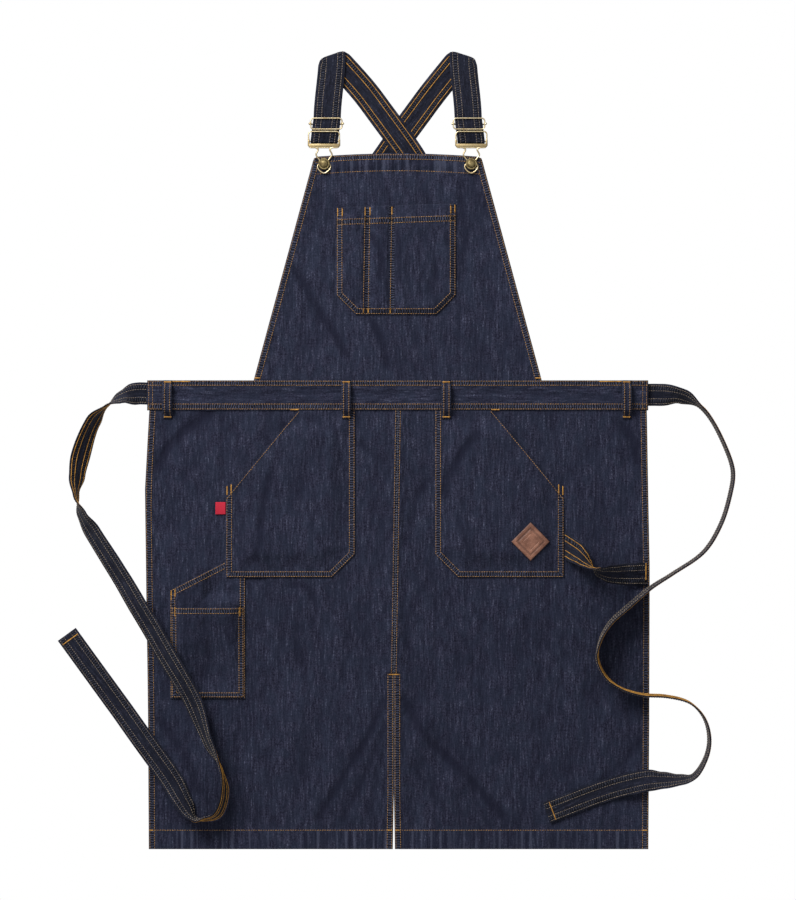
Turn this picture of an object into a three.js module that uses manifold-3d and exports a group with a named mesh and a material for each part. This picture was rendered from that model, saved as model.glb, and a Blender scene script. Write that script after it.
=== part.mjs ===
// A denim carpenter apron laid flat on its back: bib, waistband, split skirt, pockets, loops, waist ties
// and two shoulder straps that cross behind the bib and clip to its buttons.
// Millimetres. X to the right as seen from the front, Y up the apron, Z out of the surface it lies on.

import * as THREE from "three";
import { mergeVertices } from "three/addons/utils/BufferGeometryUtils.js";
import Module from "manifold-3d";

const { Vector2, Vector3 } = THREE;
const wasm = await Module();
wasm.setup();

// Clearances and thicknesses; faceting is the further room that flat facets need over a curved cloth
const gap = 0.3;
const cloth = 1.2;
const strapThick = 1.6;
const hemExtra = 1.0;
const faceting = 0.2;

// Bib
const bib = { height: 290, topWidth: 217, baseWidth: 374, arch: 4.5, hem: 22, sideHem: 7 };

// Waistband, an H in section: the bib's lower edge and the skirt's upper edge sit in its slots
const band = { width: 650, height: 39, tuck: 8 };

// Skirt, two panels that meet at a seam down to the vent and part below it
const skirt = { length: 570, hem: 25, sideHem: 7.5, seam: 8, seamTop: 0.5, seamEnd: -5, ventAt: 0.6 };
const vent = { opensAt: 0.875, width: 2.7 };
const skirtSide = [
  { down: 0.0, left: 0.992, right: 0.995 },
  { down: 0.18, left: 1.009, right: 1.0 },
  { down: 0.35, left: 1.005, right: 1.006 },
  { down: 0.7, left: 0.998, right: 1.006 },
  { down: 1.0, left: 0.995, right: 1.002 },
];

// Hand pockets: mouthEdge is how far the slanted mouth runs along the top, mouthDrop how far down the side
const handPocket = {
  width: 168, depth: 217, mouthEdge: 94, mouthDrop: 114, chamfer: 30, puff: 6.5, reach: 36, margin: 8,
  belowMargin: 4,
};
const handPocketAxis = -3.5;
const handPocketSpread = 51.5;

// Rule pocket on the left of the skirt, and the smaller pocket on it
const toolPocket = {
  width: 98, low: 142, high: 192, inner: 120, inset: 2, sideGap: 29.5, top: 183, puff: 6.2, reach: 16,
};

// Where cloths that overlap give way: at this distance the change starts, over this distance it takes place
const handLift = { from: 17, over: 16 };
const toolFlat = { from: 16, over: 18 };
const settle = { past: 6, over: 158 };
const easeDown = { side: 34, tool: 24, tuck: 60 };

// Bib pocket with its two divider seams, at shares of its width
const bibPocket = { width: 155.5, height: 139, skew: 5, chamfer: 25, axis: -2, below: 66, puff: 5.6, reach: 7 };
const dividers = [0.262, 0.465];

// Belt loops, hammer loop, leather patch and side tag
const beltLoop = { width: 12, length: 49.5, bow: 6.2, thick: 1.4 };
const beltLoopShares = [-0.918, -0.205, 0.194, 0.914];
const hammerLoop = { width: 30, below: 175, rise: 7.5, spacing: 8 };
const patch = { side: 35.5, thick: 1.8, inset: 44, below: 170 };
const tag = { width: 13, height: 16, thick: 0.9, below: 119 };

// Waist ties
const tie = { width: 29, leftLength: 975, rightLength: 1071, tuck: 22, clear: 12, spacing: 13 };

// Shoulder straps and their hardware
const strap = { width: 35.6, peak: 132, peakSpread: 85, lean: 3.7, cross: 24, aside: 2, tail: 7 };
const button = { inset: 13, below: 9.5, capRadius: 7.6, dome: 3.4, shank: 2.2, backRadius: 5, back: 1 };
const wire = { radius: 0.9, sides: 6 };
const buckle = { width: 42, height: 23, above: 10.5, plate: 5.6, corner: 4, barBelow: 1.8 };
const slider = { width: 42.6, height: 16.2, above: 34.5, inward: 3, corner: 3, knob: 1.5 };

// Levels above the surface that the apron lies on
const secondLayer = strapThick + gap;
const plateau = 2 * secondLayer;
const bandUnder = plateau - gap - cloth;
const bandTop = plateau + 2 * cloth + gap;
const barHeight = secondLayer + wire.radius + gap;
const wrap = wire.radius + gap + strapThick / 2;
const overBar = barHeight + wrap;
const overTail = overBar + secondLayer;
const ringHeight = overTail + strapThick / 2 + gap + wire.radius;
const waist = -band.height;
const skirtEnd = waist - skirt.length;
const settleFrom = waist - handPocket.depth - settle.past;

// Small functions on numbers
const clamp = (t) => Math.min(1, Math.max(0, t));
const mix = (a, b, t) => a + (b - a) * t;
const smooth = (t) => clamp(t) ** 2 * (3 - 2 * clamp(t));
const steps = (from, to, count) => Array.from({ length: count + 1 }, (_, i) => mix(from, to, i / count));
const radians = THREE.MathUtils.degToRad;

// The value of a table's column at a place along its key column
function column(table, key, name, at) {
  const next = table.findIndex((row) => row[key] >= at);
  if (next <= 0) return table[next < 0 ? table.length - 1 : 0][name];
  const [a, b] = [table[next - 1], table[next]];
  return mix(a[name], b[name], (at - a[key]) / (b[key] - a[key]));
}

// How far a point lies from a chain of points
function distanceTo(chain, x, y) {
  let least = Infinity;
  for (let i = 1; i < chain.length; i += 1) {
    const [ax, ay] = chain[i - 1];
    const [bx, by] = chain[i];
    const along = clamp(((x - ax) * (bx - ax) + (y - ay) * (by - ay)) / ((bx - ax) ** 2 + (by - ay) ** 2));
    least = Math.min(least, Math.hypot(x - mix(ax, bx, along), y - mix(ay, by, along)));
  }
  return least;
}

// Closed slab from a grid of cells that each hold a point above and a point below.
// Rows run down the piece and columns from its left to its right, seen from above.
function slab(grid) {
  const rows = grid.length;
  const columns = grid[0].length;
  const points = [];
  for (const face of ["top", "under"]) {
    for (const row of grid) row.forEach((cell) => points.push(...cell[face].toArray()));
  }
  const top = (i, j) => i * columns + j;
  const under = (i, j) => (rows + i) * columns + j;
  const faces = [];
  const quad = (a, b, c, d) => faces.push(a, b, c, a, c, d);
  for (let i = 0; i < rows - 1; i += 1) {
    for (let j = 0; j < columns - 1; j += 1) {
      quad(top(i, j), top(i + 1, j), top(i + 1, j + 1), top(i, j + 1));
      quad(under(i, j), under(i, j + 1), under(i + 1, j + 1), under(i + 1, j));
    }
    quad(top(i, 0), under(i, 0), under(i + 1, 0), top(i + 1, 0));
    quad(top(i, columns - 1), top(i + 1, columns - 1), under(i + 1, columns - 1), under(i, columns - 1));
  }
  for (let j = 0; j < columns - 1; j += 1) {
    quad(top(0, j), top(0, j + 1), under(0, j + 1), under(0, j));
    quad(top(rows - 1, j), under(rows - 1, j), under(rows - 1, j + 1), top(rows - 1, j + 1));
  }
  const geometry = new THREE.BufferGeometry();
  geometry.setAttribute("position", new THREE.Float32BufferAttribute(points, 3));
  geometry.setIndex(faces);
  return geometry;
}

// Cloth panel: its rows at heights ys, each from left(y) to right(y), over a floor under(x, y)
function panel({ ys, columns, left, right, under, thick, bow = () => 0 }) {
  const grid = ys.map((y) =>
    columns(left(y), right(y), y).map((x) => {
      const yy = y + bow(x, y);
      const low = under(x, yy);
      return { top: new Vector3(x, yy, low + thick(x, yy)), under: new Vector3(x, yy, low) };
    }),
  );
  return slab(grid);
}

// Columns with a hem's two lines at each side and even ones between
function hemmed(hemLeft, hemRight, count) {
  const turn = 1.5;
  return (left, right) => [
    left,
    left + hemLeft,
    ...steps(left + hemLeft + turn, right - hemRight - turn, count),
    right - hemRight,
    right,
  ];
}

// Flat strap through stations that each give its centre, its half width as a vector and its face's normal
function ribbon(stations, thick) {
  return slab(
    stations.map(({ centre, across, normal }) =>
      [-1, 1].map((end) => {
        const edge = centre.clone().addScaledVector(across, end);
        return {
          top: edge.clone().addScaledVector(normal, thick / 2),
          under: edge.clone().addScaledVector(normal, -thick / 2),
        };
      }),
    ),
  );
}

// manifold-3d solids from closed meshes, and back
function solidOf(geometry) {
  const bare = geometry.clone();
  bare.deleteAttribute("normal");
  bare.deleteAttribute("uv");
  const merged = mergeVertices(bare, 1e-4);
  const triangles = merged.index ? merged.index.array : merged.attributes.position.array.map((_, i) => i);
  return new wasm.Manifold(
    new wasm.Mesh({
      numProp: 3,
      vertProperties: new Float32Array(merged.attributes.position.array),
      triVerts: new Uint32Array(triangles),
    }),
  );
}

function geometryOf(solid) {
  const mesh = solid.getMesh();
  const geometry = new THREE.BufferGeometry();
  geometry.setAttribute("position", new THREE.BufferAttribute(mesh.vertProperties, 3));
  geometry.setIndex(Array.from(mesh.triVerts));
  return geometry;
}

const joined = (pieces) => geometryOf(pieces.map(solidOf).reduce((a, b) => a.add(b)));

// Surfaces

// How high the bib's and the skirt's undersides lie: on the straps above, on the floor at the hem
const clothUnder = (y) => plateau * (1 - smooth((settleFrom - y) / settle.over));

// Folds of the skirt: centre and size as shares of the skirt's half width and length
const folds = [
  { x: -0.13, y: 0.74, angle: 112, length: 0.13, width: 0.045, height: 3 },
  { x: 0.1, y: 0.73, angle: 66, length: 0.12, width: 0.045, height: 3 },
  { x: -0.4, y: 0.7, angle: 97, length: 0.12, width: 0.05, height: 2.4 },
  { x: 0.42, y: 0.66, angle: 82, length: 0.15, width: 0.055, height: 2.6 },
  { x: -0.3, y: 0.86, angle: 104, length: 0.07, width: 0.045, height: 1.8 },
  { x: 0.22, y: 0.86, angle: 76, length: 0.07, width: 0.045, height: 1.8 },
];
const bell = (t) => (1 - Math.min(1, t * t)) ** 2;
function foldRise(x, y) {
  return folds.reduce((sum, fold) => {
    const dx = x - (fold.x * band.width) / 2;
    const dy = y - (waist - fold.y * skirt.length);
    const [c, s] = [Math.cos(radians(fold.angle)), Math.sin(radians(fold.angle))];
    const along = (dx * c + dy * s) / (fold.length * skirt.length);
    const over = (dy * c - dx * s) / (fold.width * skirt.length);
    return sum + fold.height * bell(along) * bell(over);
  }, 0);
}

const skirtDown = (y) => (waist - y) / skirt.length;
const skirtLeft = (y) => (-band.width / 2) * column(skirtSide, "down", "left", skirtDown(y));
const skirtRight = (y) => (band.width / 2) * column(skirtSide, "down", "right", skirtDown(y));
const seamX = (y) => mix(skirt.seamTop, skirt.seamEnd, clamp(skirtDown(y) / skirt.ventAt));
const seamGap = (y) => mix(gap, vent.width, clamp((skirtDown(y) - vent.opensAt) / (1 - vent.opensAt)));

const skirtUnder = (x, y) => clothUnder(y) + foldRise(x, y);
const outOfBand = (y) => smooth((waist - 1.5 - y) / 8);
function skirtThick(x, y, edge) {
  const inSide = Math.abs(x - edge) < skirt.sideHem + 0.5;
  const inSeam = Math.abs(x - seamX(y)) < skirt.seam + 0.5;
  const inHem = y < skirtEnd + skirt.hem + 0.5;
  return cloth + (inSide || inSeam || inHem ? hemExtra * outOfBand(y) : 0);
}
const skirtTop = (x, y) => skirtUnder(x, y) + cloth;

// Puffed pocket: how far its cloth stands off, away from the seams that hold it down
const pillow = (seams, height, reach, margin = 0) => (x, y) =>
  height * smooth((distanceTo(seams, x, y) - margin) / (reach - margin));

// Tool pocket patch and its place
const tool = {
  left: -band.width / 2 + toolPocket.sideGap,
  right: -band.width / 2 + toolPocket.sideGap + toolPocket.width,
  bottom: waist - toolPocket.top - toolPocket.high,
};
const toolMouth = (x) => mix(tool.bottom + toolPocket.low, tool.bottom + toolPocket.high,
  clamp((x - tool.left) / toolPocket.width));

// Hand pockets, left and right of handPocketAxis
function handPocketPlace(side) {
  const inner = handPocketAxis + side * handPocketSpread;
  const outer = inner + side * handPocket.width;
  const top = waist - gap;
  const bottom = waist - handPocket.depth;
  const mouthTop = outer - side * handPocket.mouthEdge;
  const mouthEnd = waist - handPocket.mouthDrop;
  return { side, inner, outer, top, bottom, mouthTop, mouthEnd };
}
const leftPocket = handPocketPlace(-1);
const rightPocket = handPocketPlace(1);

function handPocketSeams({ side, inner, outer, top, bottom, mouthTop, mouthEnd }) {
  return [
    [mouthTop, top],
    [inner, top],
    [inner, bottom + handPocket.chamfer],
    [inner + side * handPocket.chamfer, bottom],
    [outer, bottom],
    [outer, mouthEnd],
  ];
}

// How far a hand pocket is lifted where it runs over the tool pocket's upper corner
function overTool(x, y) {
  const out = Math.max(x - tool.right, y - toolMouth(tool.right), 0);
  return (cloth + gap) * (1 - smooth((out - handLift.from) / handLift.over));
}
const handPocketUnder = (place) => {
  const puff = pillow(handPocketSeams(place), handPocket.puff, handPocket.reach, handPocket.margin);
  return (x, y) => skirtTop(x, y) + gap + puff(x, y) + (place.side < 0 ? overTool(x, y) : 0);
};
const handPocketTop = (place) => {
  const under = handPocketUnder(place);
  return (x, y) => under(x, y) + cloth;
};

const toolSeams = [
  [tool.left, tool.bottom + toolPocket.low],
  [tool.left, tool.bottom],
  [tool.right, tool.bottom],
  [tool.right, tool.bottom + toolPocket.high],
  [leftPocket.outer, leftPocket.bottom],
];
const innerTop = tool.bottom + toolPocket.inner;
const innerSeams = [
  [tool.left + toolPocket.inset, innerTop],
  [tool.left + toolPocket.inset, tool.bottom + toolPocket.inset],
  [tool.right - toolPocket.inset, tool.bottom + toolPocket.inset],
  [tool.right - toolPocket.inset, innerTop],
];
const toolPuff = pillow(toolSeams, toolPocket.puff, toolPocket.reach);
const innerPuff = pillow(innerSeams, toolPocket.puff, toolPocket.reach);
const nearMouth = (y, mouth, depth) => 1 - smooth((mouth - y - depth / 3) / (depth / 2));
const clearOfHand = (x, y) => {
  const out = Math.max(leftPocket.outer - x, leftPocket.bottom - y);
  return smooth((out - toolFlat.from) / toolFlat.over);
};
const toolUnder = (x, y) =>
  skirtTop(x, y) + gap + toolPuff(x, y) * nearMouth(y, toolMouth(x), toolPocket.low) * clearOfHand(x, y);
const innerUnder = (x, y) =>
  toolUnder(x, y) + cloth + gap + innerPuff(x, y) * nearMouth(y, innerTop, toolPocket.inner);

// The highest cloth within reach of a point, for what is laid across the skirt: it eases down outside
function laidOn(x, y, reach) {
  const tall = clothUnder(Math.min(y, waist)) + cloth + hemExtra;
  const offSide = Math.max(skirtLeft(y) - x, x - skirtRight(y), 0);
  let height = tall * (1 - smooth((offSide - reach) / easeDown.side));
  const offTool = Math.hypot(Math.max(tool.left - x, x - tool.right, 0), Math.max(tool.bottom - y, 0));
  if (y < toolMouth(tool.right)) {
    const px = Math.min(tool.right - 1, Math.max(tool.left + 1, x));
    const rise = innerUnder(Math.max(px, tool.left + toolPocket.reach), Math.max(y, tool.bottom)) + cloth;
    height = Math.max(height, mix(rise, height, smooth((offTool - reach) / easeDown.tool)));
  }
  return height + gap;
}

// Pieces of cloth

const bibHalf = (y) => mix(bib.baseWidth, bib.topWidth, clamp(y / bib.height)) / 2;
const bibThick = (x, y) => {
  const inSide = bibHalf(y) - Math.abs(x) < bib.sideHem + 0.5;
  const inTop = y > bib.height - bib.hem - 0.5;
  return cloth + (inSide || inTop ? hemExtra * smooth((y - 1) / 8) : 0);
};
const bibBow = (x, y) => bib.arch * (1 - (x / bibHalf(y)) ** 2) * smooth((y / bib.height - 0.6) / 0.4);
const buttonX = bib.topWidth / 2 - button.inset;
const buttonY = bib.height - button.below;

function makeBib() {
  const lines = [bib.height, bib.height - bib.hem, bib.height - bib.hem - 1.5];
  const cloths = panel({
    ys: [...lines, ...steps(bib.height - 2 * bib.hem, bib.hem / 2, 11), 3, -band.tuck + gap],
    columns: hemmed(bib.sideHem, bib.sideHem, 10),
    left: (y) => -bibHalf(y),
    right: bibHalf,
    under: () => plateau,
    thick: bibThick,
    bow: bibBow,
  });
  const hole = new THREE.CylinderGeometry(button.shank + gap, button.shank + gap, 4 * plateau, 12);
  hole.rotateX(Math.PI / 2);
  return geometryOf([-1, 1].reduce(
    (solid, side) => solid.subtract(solidOf(hole.clone().translate(side * buttonX, buttonY, plateau))),
    solidOf(cloths),
  ));
}

function makeSkirt(side) {
  const edge = side < 0 ? skirtLeft : skirtRight;
  const middle = (y) => seamX(y) + (side * seamGap(y)) / 2;
  const ys = [
    waist + band.tuck - gap,
    waist - 1.5,
    ...steps(waist - skirt.hem / 2, skirtEnd + 1.5 * skirt.hem, 17),
    skirtEnd + skirt.hem + 1.5,
    skirtEnd + skirt.hem,
    skirtEnd,
  ];
  return panel({
    ys,
    columns: side < 0 ? hemmed(skirt.sideHem, skirt.seam, 10) : hemmed(skirt.seam, skirt.sideHem, 10),
    left: side < 0 ? edge : middle,
    right: side < 0 ? middle : edge,
    under: skirtUnder,
    thick: (x, y) => skirtThick(x, y, edge(y)),
  });
}

// The waistband's outline in Y and Z: an H lying on its side
function makeWaistband() {
  const slotLow = plateau - gap;
  const slotHigh = plateau + cloth + gap;
  const outline = new THREE.Shape([
    new Vector2(0, bandUnder),
    new Vector2(0, slotLow),
    new Vector2(-band.tuck, slotLow),
    new Vector2(-band.tuck, slotHigh),
    new Vector2(0, slotHigh),
    new Vector2(0, bandTop),
    new Vector2(waist, bandTop),
    new Vector2(waist, slotHigh),
    new Vector2(waist + band.tuck, slotHigh),
    new Vector2(waist + band.tuck, slotLow),
    new Vector2(waist, slotLow),
    new Vector2(waist, bandUnder),
  ]);
  const geometry = new THREE.ExtrudeGeometry(outline, { depth: band.width, steps: 14, bevelEnabled: false });
  geometry.applyMatrix4(new THREE.Matrix4().makeBasis(
    new Vector3(0, 1, 0), new Vector3(0, 0, 1), new Vector3(1, 0, 0),
  ));
  return geometry.translate(-band.width / 2, 0, 0);
}

function makeHandPocket(place) {
  const { side, inner, outer, top, bottom, mouthTop, mouthEnd } = place;
  const outerAt = (y) => mix(mouthTop, outer, clamp((top - y) / (top - mouthEnd)));
  const innerAt = (y) => inner + side * Math.max(0, bottom + handPocket.chamfer - y);
  const shares = [0, 0.1, 0.22, 0.36, 0.5, 0.64, 0.78, 0.9, 1];
  const ys = [
    top,
    top - handPocket.margin - handPocket.belowMargin,
    ...steps(top - handPocket.chamfer, mouthEnd, 4),
    ...steps(mouthEnd - handPocket.chamfer / 2, bottom + 1.5 * handPocket.chamfer, 3),
    ...steps(bottom + handPocket.chamfer, bottom, 3),
  ];
  return panel({
    ys,
    columns: (left, right) => shares.map((share) => mix(left, right, share)),
    left: side < 0 ? outerAt : innerAt,
    right: side < 0 ? innerAt : outerAt,
    under: handPocketUnder(place),
    thick: () => cloth,
  });
}

function makeToolPocket() {
  const shares = [0, 0.08, 0.17, 0.4, 0.62, 0.74, 0.83, 0.92, 1];
  const downs = [0, 0.12, 0.24, 0.36, 0.5, 0.64, 0.82, 0.92, 1];
  const grid = downs.map((down) =>
    shares.map((share) => {
      const x = mix(tool.left, tool.right, share);
      const y = mix(toolMouth(x), tool.bottom, down);
      const low = toolUnder(x, y);
      return { top: new Vector3(x, y, low + cloth), under: new Vector3(x, y, low) };
    }),
  );
  return slab(grid);
}

function makeInnerPocket() {
  const shares = [0, 0.08, 0.17, 0.4, 0.62, 0.83, 0.92, 1];
  return panel({
    ys: steps(innerTop, tool.bottom + toolPocket.inset, 8),
    columns: (left, right) => shares.map((share) => mix(left, right, share)),
    left: () => tool.left + toolPocket.inset,
    right: () => tool.right - toolPocket.inset,
    under: (x, y) => innerUnder(x, y) + faceting,
    thick: () => cloth,
  });
}

// Bib pocket: its mouth is level with the photo's slight slope, its lower corners are cut off
const pocketTop = bib.height - bibPocket.below;
const pocketLeft = bibPocket.axis - bibPocket.width / 2;
const pocketRight = bibPocket.axis + bibPocket.width / 2;
const pocketBottom = pocketTop - bibPocket.height;
const dividerX = (share) => mix(pocketLeft, pocketRight, share);
const bibSeamLines = [
  [[pocketLeft, pocketTop], [pocketLeft, pocketBottom + bibPocket.chamfer],
    [pocketLeft + bibPocket.chamfer, pocketBottom], [pocketRight - bibPocket.chamfer, pocketBottom],
    [pocketRight, pocketBottom + bibPocket.chamfer], [pocketRight, pocketTop + bibPocket.skew]],
  ...dividers.map((share) => [[dividerX(share), pocketTop + bibPocket.skew], [dividerX(share), pocketBottom]]),
];
function bibPocketUnder(x, y) {
  const away = Math.min(...bibSeamLines.map((chain) => distanceTo(chain, x, y)));
  return plateau + cloth + gap + bibPocket.puff * smooth(away / bibPocket.reach);
}

function makeBibPocket() {
  const near = bibPocket.reach;
  const inset = (y) => Math.max(0, pocketBottom + bibPocket.chamfer - y);
  const lines = (left, right) => {
    const [a, b] = dividers.map(dividerX);
    return [
      left, mix(left, a, near / (a - pocketLeft)), a - near, a, a + near, b - near, b, b + near,
      mix(b + near, right - near, 0.5), right - near, right,
    ];
  };
  return panel({
    ys: [...steps(pocketTop, pocketBottom + bibPocket.chamfer, 6),
      ...steps(pocketBottom + bibPocket.chamfer * 0.66, pocketBottom, 2)],
    columns: lines,
    left: (y) => pocketLeft + inset(y),
    right: (y) => pocketRight - inset(y),
    under: bibPocketUnder,
    thick: () => cloth,
    bow: (x, y) => bibPocket.skew * clamp((x - pocketLeft) / bibPocket.width) *
      clamp((y - pocketBottom) / bibPocket.height),
  });
}

// A belt loop: its two ends are sewn down and its middle stands off for a belt
function makeBeltLoop(x, lowEnd) {
  const half = beltLoop.length / 2;
  const profile = [
    { at: 0, rise: 0 }, { at: 0.09, rise: 0 }, { at: 0.17, rise: 0.75 }, { at: 0.24, rise: 1 },
    { at: 0.76, rise: 1 }, { at: 0.83, rise: 0.75 }, { at: 0.91, rise: 0 }, { at: 1, rise: 0 },
  ];
  return panel({
    ys: profile.map((row) => -row.at * beltLoop.length),
    columns: (left, right) => [left, right],
    left: () => x - beltLoop.width / 2,
    right: () => x + beltLoop.width / 2,
    under: (_, y) => {
      const at = -y / beltLoop.length;
      const seat = at < 0.5 ? bandTop + gap : mix(bandTop + gap, lowEnd, smooth((-y - half) / (half * 0.9)));
      const standing = mix(seat, bandTop + gap + beltLoop.bow, column(profile, "at", "rise", at));
      return Math.max(seat, standing);
    },
    thick: () => beltLoop.thick,
  });
}

// A table of stations becomes a smooth route: x, y in the plane, roll in degrees and lift of its lowest edge
function routeOf(rows, spacing) {
  const plan = new THREE.CatmullRomCurve3(rows.map((row) => new Vector3(row.x, row.y, 0)), false, "centripetal");
  plan.arcLengthDivisions = 40 * rows.length;
  const count = Math.round(plan.getLength() / spacing);
  return steps(0, 1, count).map((share) => {
    const t = plan.getUtoTmapping(share);
    const place = t * (rows.length - 1);
    const k = Math.min(rows.length - 2, Math.floor(place));
    const between = (name) => mix(rows[k][name] ?? 0, rows[k + 1][name] ?? 0, smooth(place - k));
    return { at: plan.getPoint(t), heading: plan.getTangent(t), roll: radians(between("roll")), lift: between("lift") };
  });
}

// A band that lies or stands on what is below it: roll 0 is face up, 90 on its edge, past 90 back face up
function bandAlong(rows, width, thick, spacing, floorAt) {
  return routeOf(rows, spacing).map(({ at, heading, roll, lift }) => {
    const side = new Vector3(-heading.y, heading.x, 0).normalize();
    const up = new Vector3(0, 0, 1);
    const [c, s] = [Math.cos(roll), Math.sin(roll)];
    const reach = (width / 2) * Math.abs(c);
    const ends = [-1, 0, 1].map((end) => floorAt(at.x + side.x * end * reach, at.y + side.y * end * reach));
    const height = Math.max(...ends) + lift + (width / 2) * Math.abs(s) + (thick / 2) * Math.abs(c);
    return {
      centre: new Vector3(at.x, at.y, height),
      across: side.clone().multiplyScalar((c * width) / 2).addScaledVector(up, (s * width) / 2),
      normal: up.clone().multiplyScalar(c).addScaledVector(side, -s),
    };
  });
}

// The waist ties: places as shares of the tie's length, measured from the waistband's end and top edge
const leftTieRoute = [
  { x: 0, y: -0.0175, roll: 0 },
  { x: -0.014, y: -0.0175, roll: 0 },
  { x: -0.034, y: -0.0225, roll: 55 },
  { x: -0.053, y: -0.034, roll: 90 },
  { x: -0.071, y: -0.055, roll: 126 },
  { x: -0.088, y: -0.1, roll: 142 },
  { x: -0.0925, y: -0.128, roll: 128 },
  { x: -0.0935, y: -0.153, roll: 96 },
  { x: -0.0863, y: -0.178, roll: 58 },
  { x: -0.0723, y: -0.202, roll: 36 },
  { x: -0.041, y: -0.252, roll: 30 },
  { x: -0.0165, y: -0.292, roll: 26 },
  { x: 0.0195, y: -0.352, roll: 24 },
  { x: 0.0605, y: -0.424, roll: 30 },
  { x: 0.0815, y: -0.48, roll: 58 },
  { x: 0.099, y: -0.516, roll: 88 },
  { x: 0.1036, y: -0.55, roll: 108 },
  { x: 0.0935, y: -0.577, roll: 112 },
  { x: 0.078, y: -0.582, roll: 106 },
  { x: 0.065, y: -0.5825, roll: 88 },
  { x: 0.051, y: -0.563, roll: 46 },
  { x: 0.0328, y: -0.532, roll: 16 },
  { x: 0.001, y: -0.488, roll: 4 },
  { x: -0.05, y: -0.418, roll: 0 },
  { x: -0.1078, y: -0.3384, roll: 0 },
];
const rightTieRoute = [
  { x: 0.0, y: -0.0175, roll: 0 },
  { x: 0.012, y: -0.0175, roll: 0 },
  { x: 0.04, y: -0.0195, roll: 50 },
  { x: 0.0625, y: -0.0325, roll: 88 },
  { x: 0.078, y: -0.0523, roll: 90 },
  { x: 0.0989, y: -0.0987, roll: 90 },
  { x: 0.1015, y: -0.115, roll: 90 },
  { x: 0.0977, y: -0.139, roll: 90 },
  { x: 0.0867, y: -0.174, roll: 90 },
  { x: 0.0663, y: -0.207, roll: 90 },
  { x: 0.0295, y: -0.233, roll: 90 },
  { x: 0.002, y: -0.25, roll: 88 },
  { x: -0.0261, y: -0.2735, roll: 86 },
  { x: -0.0477, y: -0.2936, roll: 88 },
  { x: -0.0586, y: -0.3123, roll: 92 },
  { x: -0.0628, y: -0.3354, roll: 98 },
  { x: -0.053, y: -0.3574, roll: 96 },
  { x: -0.036, y: -0.3712, roll: 90 },
  { x: -0.0105, y: -0.3797, roll: 90 },
  { x: 0.0219, y: -0.3822, roll: 90 },
  { x: 0.0492, y: -0.3898, roll: 90 },
  { x: 0.0659, y: -0.407, roll: 90 },
  { x: 0.0727, y: -0.4308, roll: 90 },
  { x: 0.0693, y: -0.4546, roll: 90 },
  { x: 0.0544, y: -0.4785, roll: 86 },
  { x: 0.0391, y: -0.4825, roll: 70 },
  { x: 0.0175, y: -0.4835, roll: 50 },
  { x: -0.002, y: -0.4845, roll: 22 },
  { x: -0.05, y: -0.497, roll: 0 },
  { x: -0.1228, y: -0.5244, roll: 0 },
];

function makeTie(side, route, length) {
  const end = (side * band.width) / 2;
  const start = { x: end - side * tie.tuck, y: route[0].y * length, roll: 0 };
  const rows = [start, ...route.map((row) => ({ ...row, x: end + row.x * length, y: row.y * length }))];
  const tucked = bandUnder - gap - strapThick;
  const besideBand = (x) => tucked * (1 - smooth((Math.abs(x) - band.width / 2) / easeDown.tuck));
  const floorAt = (x, y) => (y > waist - settle.past ? besideBand(x) : laidOn(x, y, tie.clear));
  return ribbon(bandAlong(rows, tie.width, strapThick, tie.spacing, floorAt), strapThick);
}

// The hammer loop runs with half a twist from the right hand pocket's edge to the side seam, as shares of its span
const hammerRoute = [
  { x: 0, y: 0, roll: 180, lift: 0 },
  { x: 0.095, y: -0.061, roll: 176, lift: 0.3 },
  { x: 0.19, y: -0.143, roll: 140, lift: 1 },
  { x: 0.285, y: -0.232, roll: 112, lift: 0.8 },
  { x: 0.337, y: -0.27, roll: 90, lift: 0.7 },
  { x: 0.42, y: -0.318, roll: 60, lift: 0.7 },
  { x: 0.56, y: -0.345, roll: 34, lift: 1 },
  { x: 0.8, y: -0.353, roll: 12, lift: 0.6 },
  { x: 1, y: -0.353, roll: 0, lift: 0 },
];
function makeHammerLoop() {
  const from = rightPocket.outer + 2 * gap;
  const y = waist - hammerLoop.below;
  const span = skirtRight(y) - skirt.sideHem / 2 - from;
  const rows = hammerRoute.map((row) => ({
    x: from + row.x * span,
    y: y + row.y * span,
    roll: row.roll,
    lift: row.lift * hammerLoop.rise,
  }));
  const seat = plateau + cloth + hemExtra + gap;
  const stations = bandAlong(rows, hammerLoop.width, strapThick, hammerLoop.spacing, () => seat);

  // Its first edge follows the pocket's, so the row after it makes room
  const [first] = stations.splice(0, 2);
  const slant = Math.abs(first.across.y) / first.across.length();
  first.across.set(0, (Math.sign(first.across.y) * hammerLoop.width) / 2 / slant, 0);
  return ribbon([first, ...stations], strapThick);
}

// The leather patch is a square turned on its corner, lying on the right hand pocket
function makePatch() {
  const x0 = rightPocket.outer - patch.inset;
  const y0 = waist - patch.below;
  const top = handPocketTop(rightPocket);
  const cells = 6;
  const shares = steps(-0.5, 0.5, cells);
  const turn = Math.SQRT1_2 * patch.side;
  const grid = shares.map((down) =>
    shares.map((over) => {
      const x = x0 + (over - down) * turn;
      const y = y0 - (over + down) * turn;
      const low = top(x, y) + gap + faceting;
      return { top: new Vector3(x, y, low + patch.thick), under: new Vector3(x, y, low) };
    }),
  );
  return slab(grid);
}

function makeTag() {
  const right = leftPocket.outer - gap;
  const top = waist - tag.below;
  return panel({
    ys: steps(top, top - tag.height, 2),
    columns: (a, b) => steps(a, b, 2),
    left: () => right - tag.width,
    right: () => right,
    under: (x, y) => skirtTop(x, y) + gap,
    thick: () => tag.thick,
  });
}

// Shoulder straps. Each is worked out for the right side and mirrored for the left.
const hardwareX = buttonX;
const sliderY = bib.height + slider.above + slider.height / 2;
const buckleY = bib.height + buckle.above + buckle.height / 2;
const crossbarY = buckleY - buckle.barBelow;
const peakX = strap.peakSpread;
const peakY = bib.height + strap.peak;
const crossY = bib.height + strap.cross;

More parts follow.
